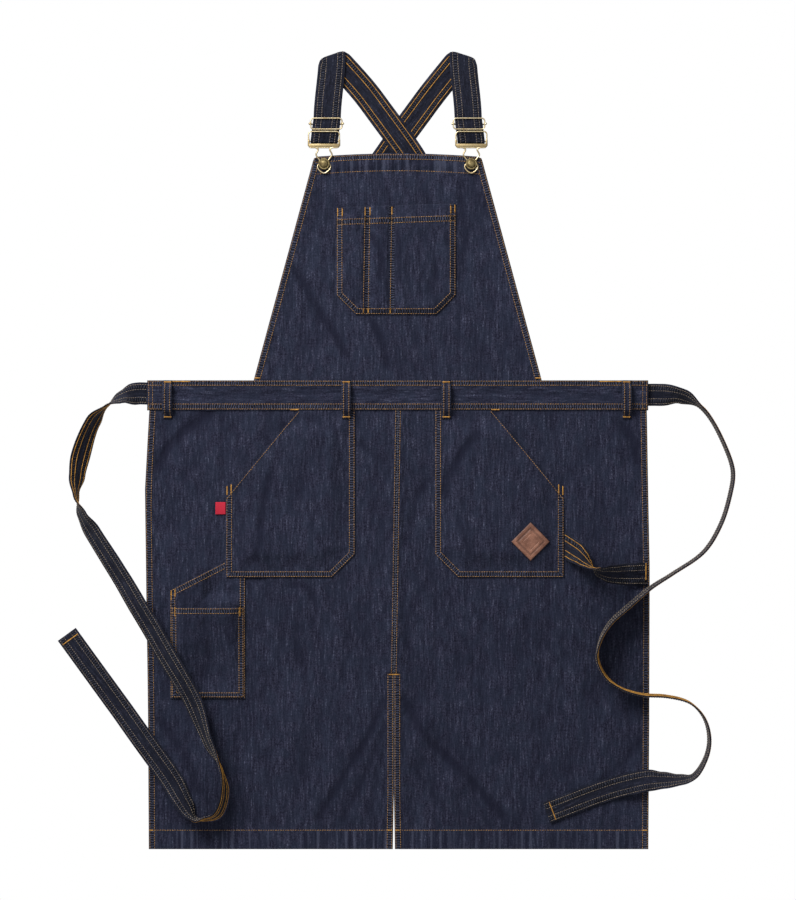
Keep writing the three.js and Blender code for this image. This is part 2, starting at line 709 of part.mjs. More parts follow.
// A flat fold between two headings: sections that turn over about a crease midway between them.
// The crease runs to the strap's left, or to its right when it arrives face down.
function creaseOf(before, after, face) {
  const out = before.clone().sub(after).normalize();
  const along = new Vector3(-out.y, out.x, 0);
  if (along.dot(new Vector3(-before.y, before.x, 0)) * face < 0) along.negate();
  return { along, out };
}

function foldStations(centre, crease, half, lowFirst) {
  const radius = secondLayer / 2;
  const middle = strapThick / 2 + radius;
  return steps(0, 180, 4).map((angle) => {
    const turn = radians(lowFirst ? 180 - angle : angle);
    const normal = crease.out.clone().multiplyScalar(Math.sin(turn));
    normal.z = Math.cos(turn);
    const at = centre.clone().addScaledVector(crease.out, radius * Math.sin(turn));
    at.z = middle + radius * Math.cos(turn);
    return { centre: at, across: crease.along.clone().multiplyScalar(half), normal };
  });
}

// The hidden stretch behind the bib, as shares of half the waistband's width and of the bib's height
const hiddenRun = [
  { x: -0.129, y: 0.862 },
  { x: -0.252, y: 0.62 },
  { x: -0.372, y: 0.345 },
  { x: -0.468, y: 0.07 },
];
const foldAt = { x: -0.55, y: -0.276 };
const endAt = { x: -0.858, y: -0.069 };

function strapStations(side) {
  const half = strap.width / 2;
  const overlaps = side < 0;
  const inwardAt = (y) => slider.inward * Math.max(0, (y - crossbarY) / (sliderY - crossbarY));
  const inPlane = (y, z, ny, nz) => ({
    centre: new Vector3(hardwareX - inwardAt(y), y, z),
    across: new Vector3(-half, 0, 0),
    normal: new Vector3(0, ny, nz),
  });
  const turnAround = (y, from, to) => steps(from, to, 5).map((angle) => {
    const [c, s] = [Math.cos(radians(angle)), Math.sin(radians(angle))];
    return inPlane(y + wrap * c, barHeight + wrap * s, c, s);
  });
  const rise = sliderY - strap.tail - crossbarY;
  const start = [
    inPlane(sliderY - strap.tail, overBar, 0, 1),
    ...turnAround(sliderY, 90, -90),
    ...turnAround(crossbarY, -90, -270),
  ];
  const mainRun = [
    inPlane(crossbarY + rise * 0.15, overBar + secondLayer * 0.1, -0.2, 1),
    inPlane(crossbarY + rise * 0.75, overTail, -0.1, 1),
    inPlane(sliderY + slider.height / 2, overTail, 0, 1),
  ];
  mainRun.forEach((station) => station.normal.normalize());

  // Up to the peak, over it and down behind
  const peak = new Vector3(peakX, peakY, 0);
  const sliderX = hardwareX - slider.inward;
  const shoulder = new Vector3(mix(sliderX, peakX, 0.45), mix(sliderY, peakY, 0.45), 0);
  const up = new Vector3(-Math.sin(radians(strap.lean)), Math.cos(radians(strap.lean)), 0);
  const backRun = [
    { x: 0.53, y: 0.565 },
    { x: 0.27, y: 0.29 },
    { x: 0.0, y: 0.0 },
    { x: -0.176, y: -0.2 },
  ].map((row) => new Vector3(row.x * peakX + side * strap.aside, crossY + row.y * (peakY - crossY), 0));
  const down = backRun[0].clone().sub(peak).normalize();
  const crease = creaseOf(up, down, 1);
  const creaseHalf = half / Math.abs(crease.along.x * up.y - crease.along.y * up.x);
  const flat = (at, heading, z, face, k = 0) => {
    const side = new Vector3(-heading.y, heading.x, 0).multiplyScalar(face * half);
    return {
      centre: new Vector3(at.x, at.y, z),
      across: side.lerp(crease.along.clone().multiplyScalar(creaseHalf), k),
      normal: new Vector3(0, 0, face),
    };
  };
  const topZ = secondLayer + strapThick / 2;
  const frontRun = [
    flat(shoulder, up, mix(overTail, topZ, 0.62), 1),
    flat(peak.clone().addScaledVector(up, -14), up, topZ + 0.3, 1, 0.2),
    flat(peak.clone().addScaledVector(up, -2), up, topZ, 1, 1),
  ];

  // Behind the bib
  const points = [
    ...backRun,
    ...hiddenRun.map((row) => new Vector3((row.x * band.width) / 2, row.y * bib.height, 0)),
  ];
  const foldPoint = new Vector3((foldAt.x * band.width) / 2, foldAt.y * bib.height, 0);
  const endPoint = new Vector3((endAt.x * band.width) / 2, endAt.y * bib.height, 0);
  const curve = new THREE.CatmullRomCurve3([peak, ...points, foldPoint], false, "centripetal");
  const length = curve.getLength();
  const floorZ = strapThick / 2;
  const overZ = (at) => {
    const away = Math.hypot(at.x, at.y - crossY);
    return floorZ + (overlaps ? secondLayer * (1 - smooth((away - strap.width) / (0.75 * strap.width))) : 0);
  };
  const count = 34;
  const behind = steps(0, 1, count).slice(1, -3).map((share) => {
    const at = curve.getPointAt(share);
    const heading = curve.getTangentAt(share);
    return flat(at, heading, overZ(at), -1, Math.max(0, 1 - (share * length) / 12) * 0.2);
  });
  const into = curve.getTangentAt(1);
  const away = endPoint.clone().sub(foldPoint).normalize();
  const lower = creaseOf(into, away, -1);
  const lowerHalf = half / Math.abs(lower.along.x * into.y - lower.along.y * into.x);
  const endZ = bandUnder - gap - strapThick / 2;
  const outRun = [0.22, 0.42, 0.7, 1].map((share) => {
    const at = foldPoint.clone().lerp(endPoint, share);
    return flat(at, away, mix(topZ, endZ, smooth((share - 0.22) / 0.2)), 1);
  });
  return [
    ...start, ...mainRun, ...frontRun,
    ...foldStations(peak, crease, creaseHalf, false),
    ...behind,
    ...foldStations(foldPoint, lower, lowerHalf, true),
    ...outRun,
  ];
}

function makeStrap(side) {
  const stations = strapStations(side);
  if (side < 0) {
    stations.forEach(({ centre, across, normal }) => {
      centre.x *= -1;
      normal.x *= -1;
      across.set(across.x, -across.y, -across.z);
    });
  }
  return ribbon(stations, strapThick);
}

// Hardware of pale brass wire
function ringPlate(width, height, corner, thick) {
  const rounded = (w, h, r, path) => {
    path.moveTo(-w / 2 + r, -h / 2);
    path.lineTo(w / 2 - r, -h / 2).absarc(w / 2 - r, -h / 2 + r, r, -Math.PI / 2, 0);
    path.lineTo(w / 2, h / 2 - r).absarc(w / 2 - r, h / 2 - r, r, 0, Math.PI / 2);
    path.lineTo(-w / 2 + r, h / 2).absarc(-w / 2 + r, h / 2 - r, r, Math.PI / 2, Math.PI);
    path.lineTo(-w / 2, -h / 2 + r).absarc(-w / 2 + r, -h / 2 + r, r, Math.PI, Math.PI * 1.5);
    return path;
  };
  const shape = rounded(width, height, corner, new THREE.Shape());
  const inside = 2 * thick;
  shape.holes.push(rounded(width - inside, height - inside, corner - thick / 2, new THREE.Path()));
  const geometry = new THREE.ExtrudeGeometry(shape, { depth: thick, bevelEnabled: false, curveSegments: 2 });
  return geometry.translate(0, 0, -thick / 2);
}

function rod(radius, length, sides) {
  return new THREE.CylinderGeometry(radius, radius, length, sides);
}

// A bar below the strap and the two posts that hold it to the ring
function barAndPosts(width, post) {
  const reach = width / 2 - post;
  const height = ringHeight - barHeight + 2 * wire.radius;
  return [
    rod(wire.radius, 2 * reach, wire.sides).rotateZ(Math.PI / 2).translate(0, 0, barHeight),
    ...[-1, 1].map((side) => rod(post, height, 8).rotateX(Math.PI / 2)
      .translate(side * reach, 0, (ringHeight + barHeight) / 2)),
  ];
}

function makeSlider(side) {
  const ring = ringPlate(slider.width, slider.height, slider.corner, 2 * wire.radius);
  const pieces = [ring.translate(0, 0, ringHeight), ...barAndPosts(slider.width, slider.knob)];
  return joined(pieces.map((piece) => piece.translate(side * (hardwareX - slider.inward), sliderY, 0)));
}

// The hook's wire, as shares of the buckle's width and height, from the plate round the button and back
const hookWire = [
  { x: 0.25, y: 0.66 },
  { x: 0.182, y: 0.8 },
  { x: 0.245, y: 1.1 },
  { x: 0.132, y: 1.45 },
  { x: 0.2, y: 1.78 },
  { x: 0.13, y: 2 },
  { x: 0, y: 2.13 },
];
function makeBuckle(side) {
  const ring = ringPlate(buckle.width, buckle.height, buckle.corner, 2 * wire.radius)
    .translate(0, buckleY, ringHeight);
  const plateY = buckleY - buckle.height / 2 + buckle.plate / 2 + 1;
  const plate = new THREE.BoxGeometry(buckle.width - 2 * wire.radius, buckle.plate, 2.2 * wire.radius)
    .translate(0, plateY, ringHeight);
  const buttonTop = plateau + cloth + hemExtra + gap + wire.radius;
  const hookAt = (row) => {
    const y = buckleY + buckle.height * (0.5 - row.y) - buckle.height * 0.25;
    const low = smooth((row.y - 0.85) / 0.5);
    return new Vector3(row.x * buckle.width, y, mix(ringHeight, buttonTop, low));
  };
  const half = hookWire.map(hookAt);
  const back = half.slice(0, -1).reverse().map((p) => new Vector3(-p.x, p.y, p.z));
  const path = new THREE.CatmullRomCurve3([...half, ...back], false, "centripetal");
  const section = new THREE.Shape(steps(0, 2 * Math.PI, wire.sides).slice(1)
    .map((angle) => new Vector2(wire.radius * Math.cos(angle), wire.radius * Math.sin(angle))));
  const hook = new THREE.ExtrudeGeometry(section, { extrudePath: path, steps: 28, bevelEnabled: false });
  const bar = barAndPosts(buckle.width, 1.2).map((piece) => piece.translate(0, crossbarY, 0));
  return joined([ring, plate, hook, ...bar].map((piece) => piece.translate(side * hardwareX, 0, 0)));
}

// The bib's buttons: a domed cap, a shank through the bib and a plate behind it
function makeButton(side) {
  const behind = plateau - gap;
  const capUnder = plateau + cloth + hemExtra + 2 * gap + 2 * wire.radius;
  const profile = [
    [0, behind - button.back],
    [button.backRadius, behind - button.back],
    [button.backRadius, behind],
    [button.shank, behind],
    [button.shank, capUnder],
    [button.capRadius, capUnder],
    [button.capRadius, capUnder + 0.25 * button.dome],
    [0.82 * button.capRadius, capUnder + 0.7 * button.dome],
    [0.45 * button.capRadius, capUnder + 0.94 * button.dome],
    [0, capUnder + button.dome],
  ].map(([r, z]) => new Vector2(r, z));
  const geometry = new THREE.LatheGeometry(profile, 14);
  return geometry.rotateX(Math.PI / 2).translate(side * buttonX, buttonY, 0);
}

// Materials, one for each piece
const finish = {
  denim: { color: 0x2a2c3e, roughness: 0.92, metalness: 0 },
  webbing: { color: 0x292a38, roughness: 0.92, metalness: 0 },
  brass: { color: 0xc9b98f, roughness: 0.3, metalness: 1 },
  bronze: { color: 0x76694a, roughness: 0.45, metalness: 1 },
  leather: { color: 0x6b3a26, roughness: 0.6, metalness: 0 },
  tagRed: { color: 0xb51f33, roughness: 0.85, metalness: 0 },
};

const apron = new THREE.Group();
function add(name, geometry, look) {
  const bare = geometry.clone();
  bare.deleteAttribute("normal");
  bare.deleteAttribute("uv");
  const merged = mergeVertices(bare, 1e-4);
  merged.computeVertexNormals();
  const mesh = new THREE.Mesh(merged, new THREE.MeshStandardMaterial(finish[look]));
  mesh.name = name;
  apron.add(mesh);
}

add("bib", makeBib(), "denim");
add("waistband", makeWaistband(), "denim");
add("skirt_left", makeSkirt(-1), "denim");
add("skirt_right", makeSkirt(1), "denim");
add("bib_pocket", makeBibPocket(), "denim");
add("hand_pocket_left", makeHandPocket(leftPocket), "denim");
add("hand_pocket_right", makeHandPocket(rightPocket), "denim");
add("tool_pocket_outer", makeToolPocket(), "denim");
add("tool_pocket_inner", makeInnerPocket(), "denim");
add("hammer_loop", makeHammerLoop(), "webbing");
beltLoopShares.forEach((share, i) => {
  const x = (share * band.width) / 2;
  const onPocket = Math.abs(share) < 0.5 ? cloth + 2 * gap : 0;
  add(`belt_loop_${i + 1}`, makeBeltLoop(x, plateau + cloth + gap + onPocket), "denim");
});
add("waist_tie_left", makeTie(-1, leftTieRoute, tie.leftLength), "webbing");
add("waist_tie_right", makeTie(1, rightTieRoute, tie.rightLength), "webbing");
for (const [name, side] of [["left", -1], ["right", 1]]) {
  add(`shoulder_strap_${name}`, makeStrap(side), "webbing");
  add(`strap_slider_${name}`, makeSlider(side), "brass");
  add(`strap_buckle_${name}`, makeBuckle(side), "brass");
  add(`bib_button_${name}`, makeButton(side), "bronze");
}
add("leather_patch", makePatch(), "leather");
add("side_tag", makeTag(), "tagRed");

// The origin is below the middle of the whole apron
const bounds = new THREE.Box3().setFromObject(apron);
const middle = bounds.getCenter(new Vector3());
apron.position.set(-middle.x, -middle.y, -bounds.min.z);
apron.updateMatrixWorld(true);

export default apron;
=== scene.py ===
# A denim carpenter apron laid flat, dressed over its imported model: cloth, stitches, straps and brass.
# Lengths are in millimetres and become metres in world(). X runs to the right, Y up the apron from the
# waistband's top edge, Z up from the table.

import math

import bmesh
import bpy
import numpy as np
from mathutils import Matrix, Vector
from mathutils.bvhtree import BVHTree

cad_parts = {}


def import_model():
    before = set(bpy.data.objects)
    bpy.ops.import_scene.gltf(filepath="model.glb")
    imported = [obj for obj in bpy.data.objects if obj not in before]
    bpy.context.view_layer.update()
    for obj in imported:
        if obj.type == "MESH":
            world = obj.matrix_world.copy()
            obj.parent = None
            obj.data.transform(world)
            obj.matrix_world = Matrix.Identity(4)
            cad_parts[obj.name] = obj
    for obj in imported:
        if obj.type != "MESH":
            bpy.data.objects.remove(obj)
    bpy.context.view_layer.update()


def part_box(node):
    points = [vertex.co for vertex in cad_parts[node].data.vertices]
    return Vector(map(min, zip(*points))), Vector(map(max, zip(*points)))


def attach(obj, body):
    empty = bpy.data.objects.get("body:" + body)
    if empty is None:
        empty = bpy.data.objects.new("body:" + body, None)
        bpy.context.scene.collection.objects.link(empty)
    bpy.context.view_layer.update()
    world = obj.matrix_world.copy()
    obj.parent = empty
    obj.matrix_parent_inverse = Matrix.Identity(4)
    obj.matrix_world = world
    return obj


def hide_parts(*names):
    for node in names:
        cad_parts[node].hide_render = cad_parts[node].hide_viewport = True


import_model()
band_low, band_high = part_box("waistband")
AXIS = (band_low.x + band_high.x) / 2
TOP = band_high.y
MM = 0.001

# Thicknesses and clearances
GAP = 0.3
CLOTH = 1.2
STRAP = 1.6
HEM = 1.0
FACETING = 0.2

# The cloth pieces' sizes
BIB = {"height": 290, "top": 217, "base": 374, "arch": 4.5, "hem": 22, "side": 7}
BAND = {"width": 650, "height": 39, "tuck": 8}
SKIRT = {"length": 570, "hem": 25, "side": 7.5, "seam": 8, "seam_top": 0.5, "seam_end": -5, "vent_at": 0.6}
VENT = {"opens_at": 0.875, "width": 2.7, "closed": 0.04}
# The skirt's side edges: share of the way down, left and right shares of half the waistband's width
SIDES = [(0.0, 0.992, 0.995), (0.18, 1.009, 1.0), (0.35, 1.005, 1.006), (0.7, 0.998, 1.006),
         (1.0, 0.995, 1.002)]
HAND = {"width": 168, "depth": 217, "mouth": 94, "drop": 114, "chamfer": 30, "puff": 6.5, "reach": 36,
        "margin": 8}
HAND_AXIS = -3.5
HAND_SPREAD = 51.5
TOOL = {"width": 98, "low": 142, "high": 192, "inner": 120, "inset": 2, "gap": 29.5, "top": 183,
        "puff": 6.2, "reach": 16}
CHEST = {"width": 155.5, "height": 139, "skew": 5, "chamfer": 25, "axis": -2, "below": 66,
         "puff": 5.6, "reach": 7}
DIVIDERS = (0.262, 0.465)
LOOP = {"width": 12, "length": 49.5, "bow": 6.2, "thick": 1.4}
LOOP_SHARES = (-0.918, -0.205, 0.194, 0.914)
HAMMER = {"width": 30, "below": 175, "rise": 7.5}
PATCH = {"side": 35.5, "thick": 1.8, "inset": 44, "below": 170}
TAG = {"width": 13, "height": 16, "thick": 0.9, "below": 119}
TIE = {"width": 29, "left": 975, "right": 1071, "tuck": 22}
BRACE = {"width": 35.6, "peak": 132, "spread": 85, "lean": 3.7, "cross": 24, "aside": 2, "tail": 7}
BUTTON = {"inset": 13, "below": 9.5, "cap": 7.6, "dome": 3.4, "shank": 2.2, "back": 5}
WIRE = 0.9
BUCKLE = {"width": 42, "height": 23, "above": 10.5, "plate": 5.6, "corner": 4, "bar_below": 1.8}
SLIDER = {"width": 42.6, "height": 16.2, "above": 34.5, "inward": 3, "corner": 4, "knob": 1.5}

# Levels above the table
LAYER = STRAP + GAP
PLATEAU = 2 * LAYER
BAND_UNDER = PLATEAU - GAP - CLOTH
BAND_TOP = PLATEAU + 2 * CLOTH + GAP
BAR = LAYER + WIRE + GAP
WRAP = WIRE + GAP + STRAP / 2
OVER_BAR = BAR + WRAP
OVER_TAIL = OVER_BAR + LAYER
RING = OVER_TAIL + STRAP / 2 + GAP + WIRE
WAIST = -BAND["height"]
HEM_LINE = WAIST - SKIRT["length"]
SETTLE_FROM = WAIST - HAND["depth"] - 6
SETTLE_OVER = 158


def world(x, y, z):
    return Vector((AXIS + x * MM, TOP + y * MM, z * MM))


def mix(a, b, t):
    return a + (b - a) * t


def smooth(t):
    t = np.clip(t, 0, 1)
    return t * t * (3 - 2 * t)


def bell(t):
    return (1 - np.minimum(1, t * t)) ** 2


def least(*distances):
    return np.minimum.reduce(np.broadcast_arrays(*distances))


# Cloth surfaces

# Folds of the skirt: centre x and y, direction in degrees, half length, half width and height
FOLDS = [
    (-42, -461, 112, 74, 26, 3.0), (32, -455, 66, 68, 26, 3.0), (-130, -438, 97, 68, 28, 2.4),
    (136, -415, 82, 85, 31, 2.6), (-97, -529, 104, 40, 26, 1.8), (71, -529, 76, 40, 26, 1.8),
]

# Creases, the dips in washed cloth, which are darkened with painted shade: half width, how marked it is,
# and path
SKIRT_CREASES = [
    (7, 1.0, [(-234, -38), (-270, -60), (-300, -90), (-316, -127)]),
    (6, 0.4, [(-196, -47), (-244, -86), (-281, -138), (-300, -186)]),
    (6, 0.9, [(-164, -115), (-174, -168), (-186, -242)]),
    (7, 0.5, [(-166, -75), (-129, -49), (-75, -66)]), (6, 0.6, [(-56, -73), (-32, -97), (-6, -109)]),
    (7, 0.6, [(46, -121), (25, -153), (15, -199)]),
    (7, 0.95, [(109, -60), (83, -95), (64, -129), (59, -160)]),
    (6, 0.6, [(77, -173), (90, -212), (109, -242)]), (7, 0.9, [(286, -47), (306, -82), (314, -116)]),
    (7, 0.6, [(-153, -268), (-117, -268), (-106, -298)]), (7, 0.5, [(-137, -317), (-122, -381)]),
    (6, 0.8, [(-13, -404), (-30, -447), (-71, -515), (-108, -577)]),
    (6, 0.7, [(-13, -437), (-36, -498), (-75, -580)]), (5, 0.5, [(-14, -463), (-30, -524), (-36, -567)]),
    (7, 0.9, [(1, -404), (39, -465), (91, -515), (142, -574)]),
    (6, 0.5, [(7, -480), (38, -525), (74, -571)]),
    (6, 0.5, [(46, -252), (20, -290), (10, -333), (33, -372)]),
    (7, 0.6, [(325, -453), (291, -498), (254, -528)]),
    (8, 0.7, [(-316, -433), (-285, -476), (-255, -545)]),
    (7, 0.5, [(-205, -437), (-209, -506), (-196, -576)]),
    (7, 0.6, [(-252, -305), (-246, -346), (-253, -394)]), (6, 0.5, [(-224, -311), (-212, -350)]),
]
BIB_CREASES = [
    (6, 0.9, [(-134, 148), (-108, 100), (-75, 48), (-61, 24)]),
    (6, 0.9, [(-38, 85), (-21, 53), (-11, 7)]), (6, 0.5, [(46, 86), (36, 40)]),
    (6, 0.5, [(119, 52), (98, 10)]), (6, 0.6, [(-16, 256), (-9, 220)]), (6, 0.6, [(32, 256), (41, 220)]),
    (6, 0.7, [(79, 248), (88, 196), (81, 122)]), (6, 0.4, [(-75, 248), (-103, 178)]),
    (6, 0.4, [(109, 252), (119, 200)]),
]
CHEST_CREASES = [
    (5, 0.9, [(-37, 197), (-21, 161), (-23, 122)]), (5, 0.8, [(1, 200), (1, 118)]),
    (5, 0.6, [(31, 197), (46, 161), (52, 122)]), (5, 0.6, [(57, 200), (71, 165)]),
]
CREASE_DIP = 1.3


def creased(table, x, y):
    """How deep places lie in the creases, from 0 to 1."""
    deep = 0.0 * x
    for width, depth, places in table:
        path = [(p.x, p.y) for p, _ in curve([Vector(place) for place in places], 4)]
        length = sum(math.dist(a, b) for a, b in zip(path, path[1:]))
        away, run = distance_to(path, x, y)
        ends = smooth(run / 14 + 0.1) * smooth((length - run) / 14 + 0.1)
        deep = np.maximum(deep, depth * ends * np.exp(-((away / width) ** 2)))
    return deep


def raised(x, y, table):
    rise = 0.0 * x
    for fold_x, fold_y, angle, length, width, height in table:
        dx, dy = x - fold_x, y - fold_y
        c, s = math.cos(math.radians(angle)), math.sin(math.radians(angle))
        rise = rise + height * bell((dx * c + dy * s) / length) * bell((dy * c - dx * s) / width)
    return rise


def ripple(x, y):
    """The unevenness of washed cloth, from a few long waves."""
    return 0.25 * (np.sin(x / 17 + 1.3 * np.sin(y / 41)) * np.sin(y / 33 + 0.8 * np.sin(x / 29)) + 1)


def cloth_under(y):
    return PLATEAU * (1 - smooth((SETTLE_FROM - y) / SETTLE_OVER))


def down_skirt(y):
    return (WAIST - y) / SKIRT["length"]


def skirt_edge(side):
    """The skirt's outer edge on the left (-1) or right (1)."""
    downs, *shares = zip(*SIDES)
    return lambda y: side * BAND["width"] / 2 * np.interp(down_skirt(y), downs, shares[side > 0])


skirt_left, skirt_right = skirt_edge(-1), skirt_edge(1)


def seam_x(y):
    return mix(SKIRT["seam_top"], SKIRT["seam_end"], np.clip(down_skirt(y) / SKIRT["vent_at"], 0, 1))


def seam_gap(y):
    opens = np.clip((down_skirt(y) - VENT["opens_at"]) / (1 - VENT["opens_at"]), 0, 1)
    return mix(VENT["closed"], VENT["width"], opens)


def vent_edge(side):
    return lambda y: seam_x(y) + side * seam_gap(y) / 2


def skirt_under(x, y):
    free = smooth((WAIST - 14 - y) / 30)
    return cloth_under(y) + raised(x, y, FOLDS) + free * ripple(x, y)


def skirt_top(x, y):
    return skirt_under(x, y) + CLOTH


def skirt_hem(x, y, edge, seam):
    """How much thicker the skirt is along its hems."""
    near = least(np.abs(x - edge) - SKIRT["side"], np.abs(x - seam) - SKIRT["seam"],
                 y - HEM_LINE - SKIRT["hem"])
    return HEM * smooth((0.8 - near) / 1.6) * smooth((WAIST - 1.5 - y) / 8)


def distance_to(chain, x, y):
    """How far points lie from a chain, and how far along it their nearest point is."""
    x, y = np.asarray(x, float), np.asarray(y, float)
    closest = np.full(x.shape, 1e9)
    run = np.zeros(x.shape)
    behind = 0.0
    for (ax, ay), (bx, by) in zip(chain, chain[1:]):
        length = math.hypot(bx - ax, by - ay)
        along = np.clip(((x - ax) * (bx - ax) + (y - ay) * (by - ay)) / length**2, 0, 1)
        away = np.hypot(x - mix(ax, bx, along), y - mix(ay, by, along))
        nearer = away < closest
        closest = np.where(nearer, away, closest)
        run = np.where(nearer, behind + along * length, run)
        behind += length
    return closest, run


def pillow(seams, height, reach, margin=0.0):
    return lambda x, y: height * smooth((distance_to(seams, x, y)[0] - margin) / (reach - margin))


TOOL_LEFT = -BAND["width"] / 2 + TOOL["gap"]
TOOL_RIGHT = TOOL_LEFT + TOOL["width"]
TOOL_BOTTOM = WAIST - TOOL["top"] - TOOL["high"]
INNER_TOP = TOOL_BOTTOM + TOOL["inner"]


def tool_mouth(x):
    return TOOL_BOTTOM + mix(TOOL["low"], TOOL["high"], np.clip((x - TOOL_LEFT) / TOOL["width"], 0, 1))


def hand_place(side):
    inner = HAND_AXIS + side * HAND_SPREAD
    outer = inner + side * HAND["width"]
    return {
        "side": side, "inner": inner, "outer": outer, "top": WAIST - GAP, "bottom": WAIST - HAND["depth"],
        "mouth_top": outer - side * HAND["mouth"], "mouth_end": WAIST - HAND["drop"],
    }


HANDS = {"left": hand_place(-1), "right": hand_place(1)}


def hand_seams(p):
    turn = p["side"] * HAND["chamfer"]
    return [
        (p["mouth_top"], p["top"]), (p["inner"], p["top"]), (p["inner"], p["bottom"] + HAND["chamfer"]),
        (p["inner"] + turn, p["bottom"]), (p["outer"], p["bottom"]), (p["outer"], p["mouth_end"]),
    ]


def over_tool(x, y):
    out = np.maximum(np.maximum(x - TOOL_RIGHT, y - tool_mouth(TOOL_RIGHT)), 0)
    return (CLOTH + GAP) * (1 - smooth((out - 17) / 16))


HAND_PUFF = {
    name: pillow(hand_seams(p), HAND["puff"], HAND["reach"], HAND["margin"]) for name, p in HANDS.items()
}


def hand_top(name, x, y):
    lift = over_tool(x, y) if name == "left" else 0.0
    return skirt_top(x, y) + GAP + HAND_PUFF[name](x, y) + lift + CLOTH


TOOL_SEAMS = [
    (TOOL_LEFT, TOOL_BOTTOM + TOOL["low"]), (TOOL_LEFT, TOOL_BOTTOM), (TOOL_RIGHT, TOOL_BOTTOM),
    (TOOL_RIGHT, TOOL_BOTTOM + TOOL["high"]), (HANDS["left"]["outer"], HANDS["left"]["bottom"]),
]
INNER_LEFT = TOOL_LEFT + TOOL["inset"]
INNER_RIGHT = TOOL_RIGHT - TOOL["inset"]
INNER_BOTTOM = TOOL_BOTTOM + TOOL["inset"]
INNER_SEAMS = [(INNER_LEFT, INNER_TOP), (INNER_LEFT, INNER_BOTTOM), (INNER_RIGHT, INNER_BOTTOM),
               (INNER_RIGHT, INNER_TOP)]
TOOL_PUFF = pillow(TOOL_SEAMS, TOOL["puff"], TOOL["reach"])
INNER_PUFF = pillow(INNER_SEAMS, TOOL["puff"], TOOL["reach"])


def near_mouth(y, mouth, depth):
    return 1 - smooth((mouth - y - depth / 3) / (depth / 2))


def tool_top(x, y):
    out = np.maximum(HANDS["left"]["outer"] - x, HANDS["left"]["bottom"] - y)
    free = smooth((out - 16) / 18)
    puff = TOOL_PUFF(x, y) * near_mouth(y, tool_mouth(x), TOOL["low"]) * free
    return skirt_top(x, y) + GAP + puff + CLOTH


def inner_top(x, y):
    puff = INNER_PUFF(x, y) * near_mouth(y, INNER_TOP, TOOL["inner"])
    return tool_top(x, y) + GAP + puff + FACETING + CLOTH


# Bib
def bib_half(y):
    return mix(BIB["base"], BIB["top"], np.clip(y / BIB["height"], 0, 1)) / 2


def bib_bow(x, y):
    return BIB["arch"] * (1 - (x / bib_half(y)) ** 2) * smooth((y / BIB["height"] - 0.6) / 0.4)


def bib_top(x, y):
    near = least(bib_half(y) - np.abs(x) - BIB["side"], BIB["height"] - y - BIB["hem"] + bib_bow(x, y))
    hem = HEM * smooth((0.8 - near) / 1.6) * smooth((y - 1) / 8)
    quiet = smooth((y - 12) / 30) * smooth((BIB["height"] - 30 - y) / 30)
    return PLATEAU + CLOTH + hem + quiet * ripple(x, y)


BUTTON_X = BIB["top"] / 2 - BUTTON["inset"]
BUTTON_Y = BIB["height"] - BUTTON["below"]
CHEST_TOP = BIB["height"] - CHEST["below"]
CHEST_LEFT = CHEST["axis"] - CHEST["width"] / 2
CHEST_RIGHT = CHEST["axis"] + CHEST["width"] / 2
CHEST_BOTTOM = CHEST_TOP - CHEST["height"]
DIVIDER_X = [mix(CHEST_LEFT, CHEST_RIGHT, share) for share in DIVIDERS]
CHEST_OUTLINE = [
    (CHEST_LEFT, CHEST_TOP), (CHEST_LEFT, CHEST_BOTTOM + CHEST["chamfer"]),
    (CHEST_LEFT + CHEST["chamfer"], CHEST_BOTTOM), (CHEST_RIGHT - CHEST["chamfer"], CHEST_BOTTOM),
    (CHEST_RIGHT, CHEST_BOTTOM + CHEST["chamfer"]), (CHEST_RIGHT, CHEST_TOP + CHEST["skew"]),
]


def chest_top(x, y):
    chains = [CHEST_OUTLINE, *([(at, CHEST_TOP + CHEST["skew"]), (at, CHEST_BOTTOM)] for at in DIVIDER_X)]
    away = least(*(distance_to(chain, x, y)[0] for chain in chains))
    calm = smooth((away - 2) / 14)
    return bib_top(x, y) + GAP + CHEST["puff"] * smooth(away / CHEST["reach"]) * mix(0.55, 1, calm) + CLOTH


# Making meshes

EDGE = np.array([0.0, 0.3, 0.8, 1.6, 3.0])


def spaced(share, count, width):
    """Distances from the low side of a cloth: its lines are dense near both of its edges."""
    k = len(EDGE) - 1
    i = np.rint(share * count).astype(int)
    inside = EDGE[-1] + (i - k) * (width - 2 * EDGE[-1]) / (count - 2 * k)
    high = width - EDGE[np.clip(count - i, 0, k)]
    return np.where(i < k, EDGE[np.clip(i, 0, k)], np.where(count - i < k, high, inside))


def rolled(distance):
    """How far a folded edge of cloth drops at a distance from its end."""
    t = np.clip(distance / 1.5, 0, 1)
    return 0.6 * (1 - np.sqrt(1 - (1 - t) ** 2))


pieces = {}


def keep(piece, material, nodes=()):
    """Every piece rides on the apron, and may stand for nodes."""
    piece.data.materials.append(material)
    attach(piece, "root")
    if nodes:
        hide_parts(*nodes)
    pieces[piece.name] = piece
    return piece


def object_of(bm, name):
    mesh = bpy.data.meshes.new(name)
    bm.to_mesh(mesh)
    bm.free()
    mesh.shade_smooth()
    piece = bpy.data.objects.new(name, mesh)
    bpy.context.scene.collection.objects.link(piece)
    return piece


def set_attribute(mesh, name, kind, values):
    layer = mesh.attributes.new(name, kind, "POINT")
    field = "vector" if kind == "FLOAT_VECTOR" else "value"
    layer.data.foreach_set(field, np.asarray(values, np.float32).ravel())


def thicken(piece, thickness):
    """Gives a sheet its thickness, downwards."""
    walls = piece.modifiers.new("walls", "SOLIDIFY")
    walls.thickness = thickness * MM
    walls.offset = -1


def no_hem(x, y):
    return 0 * x


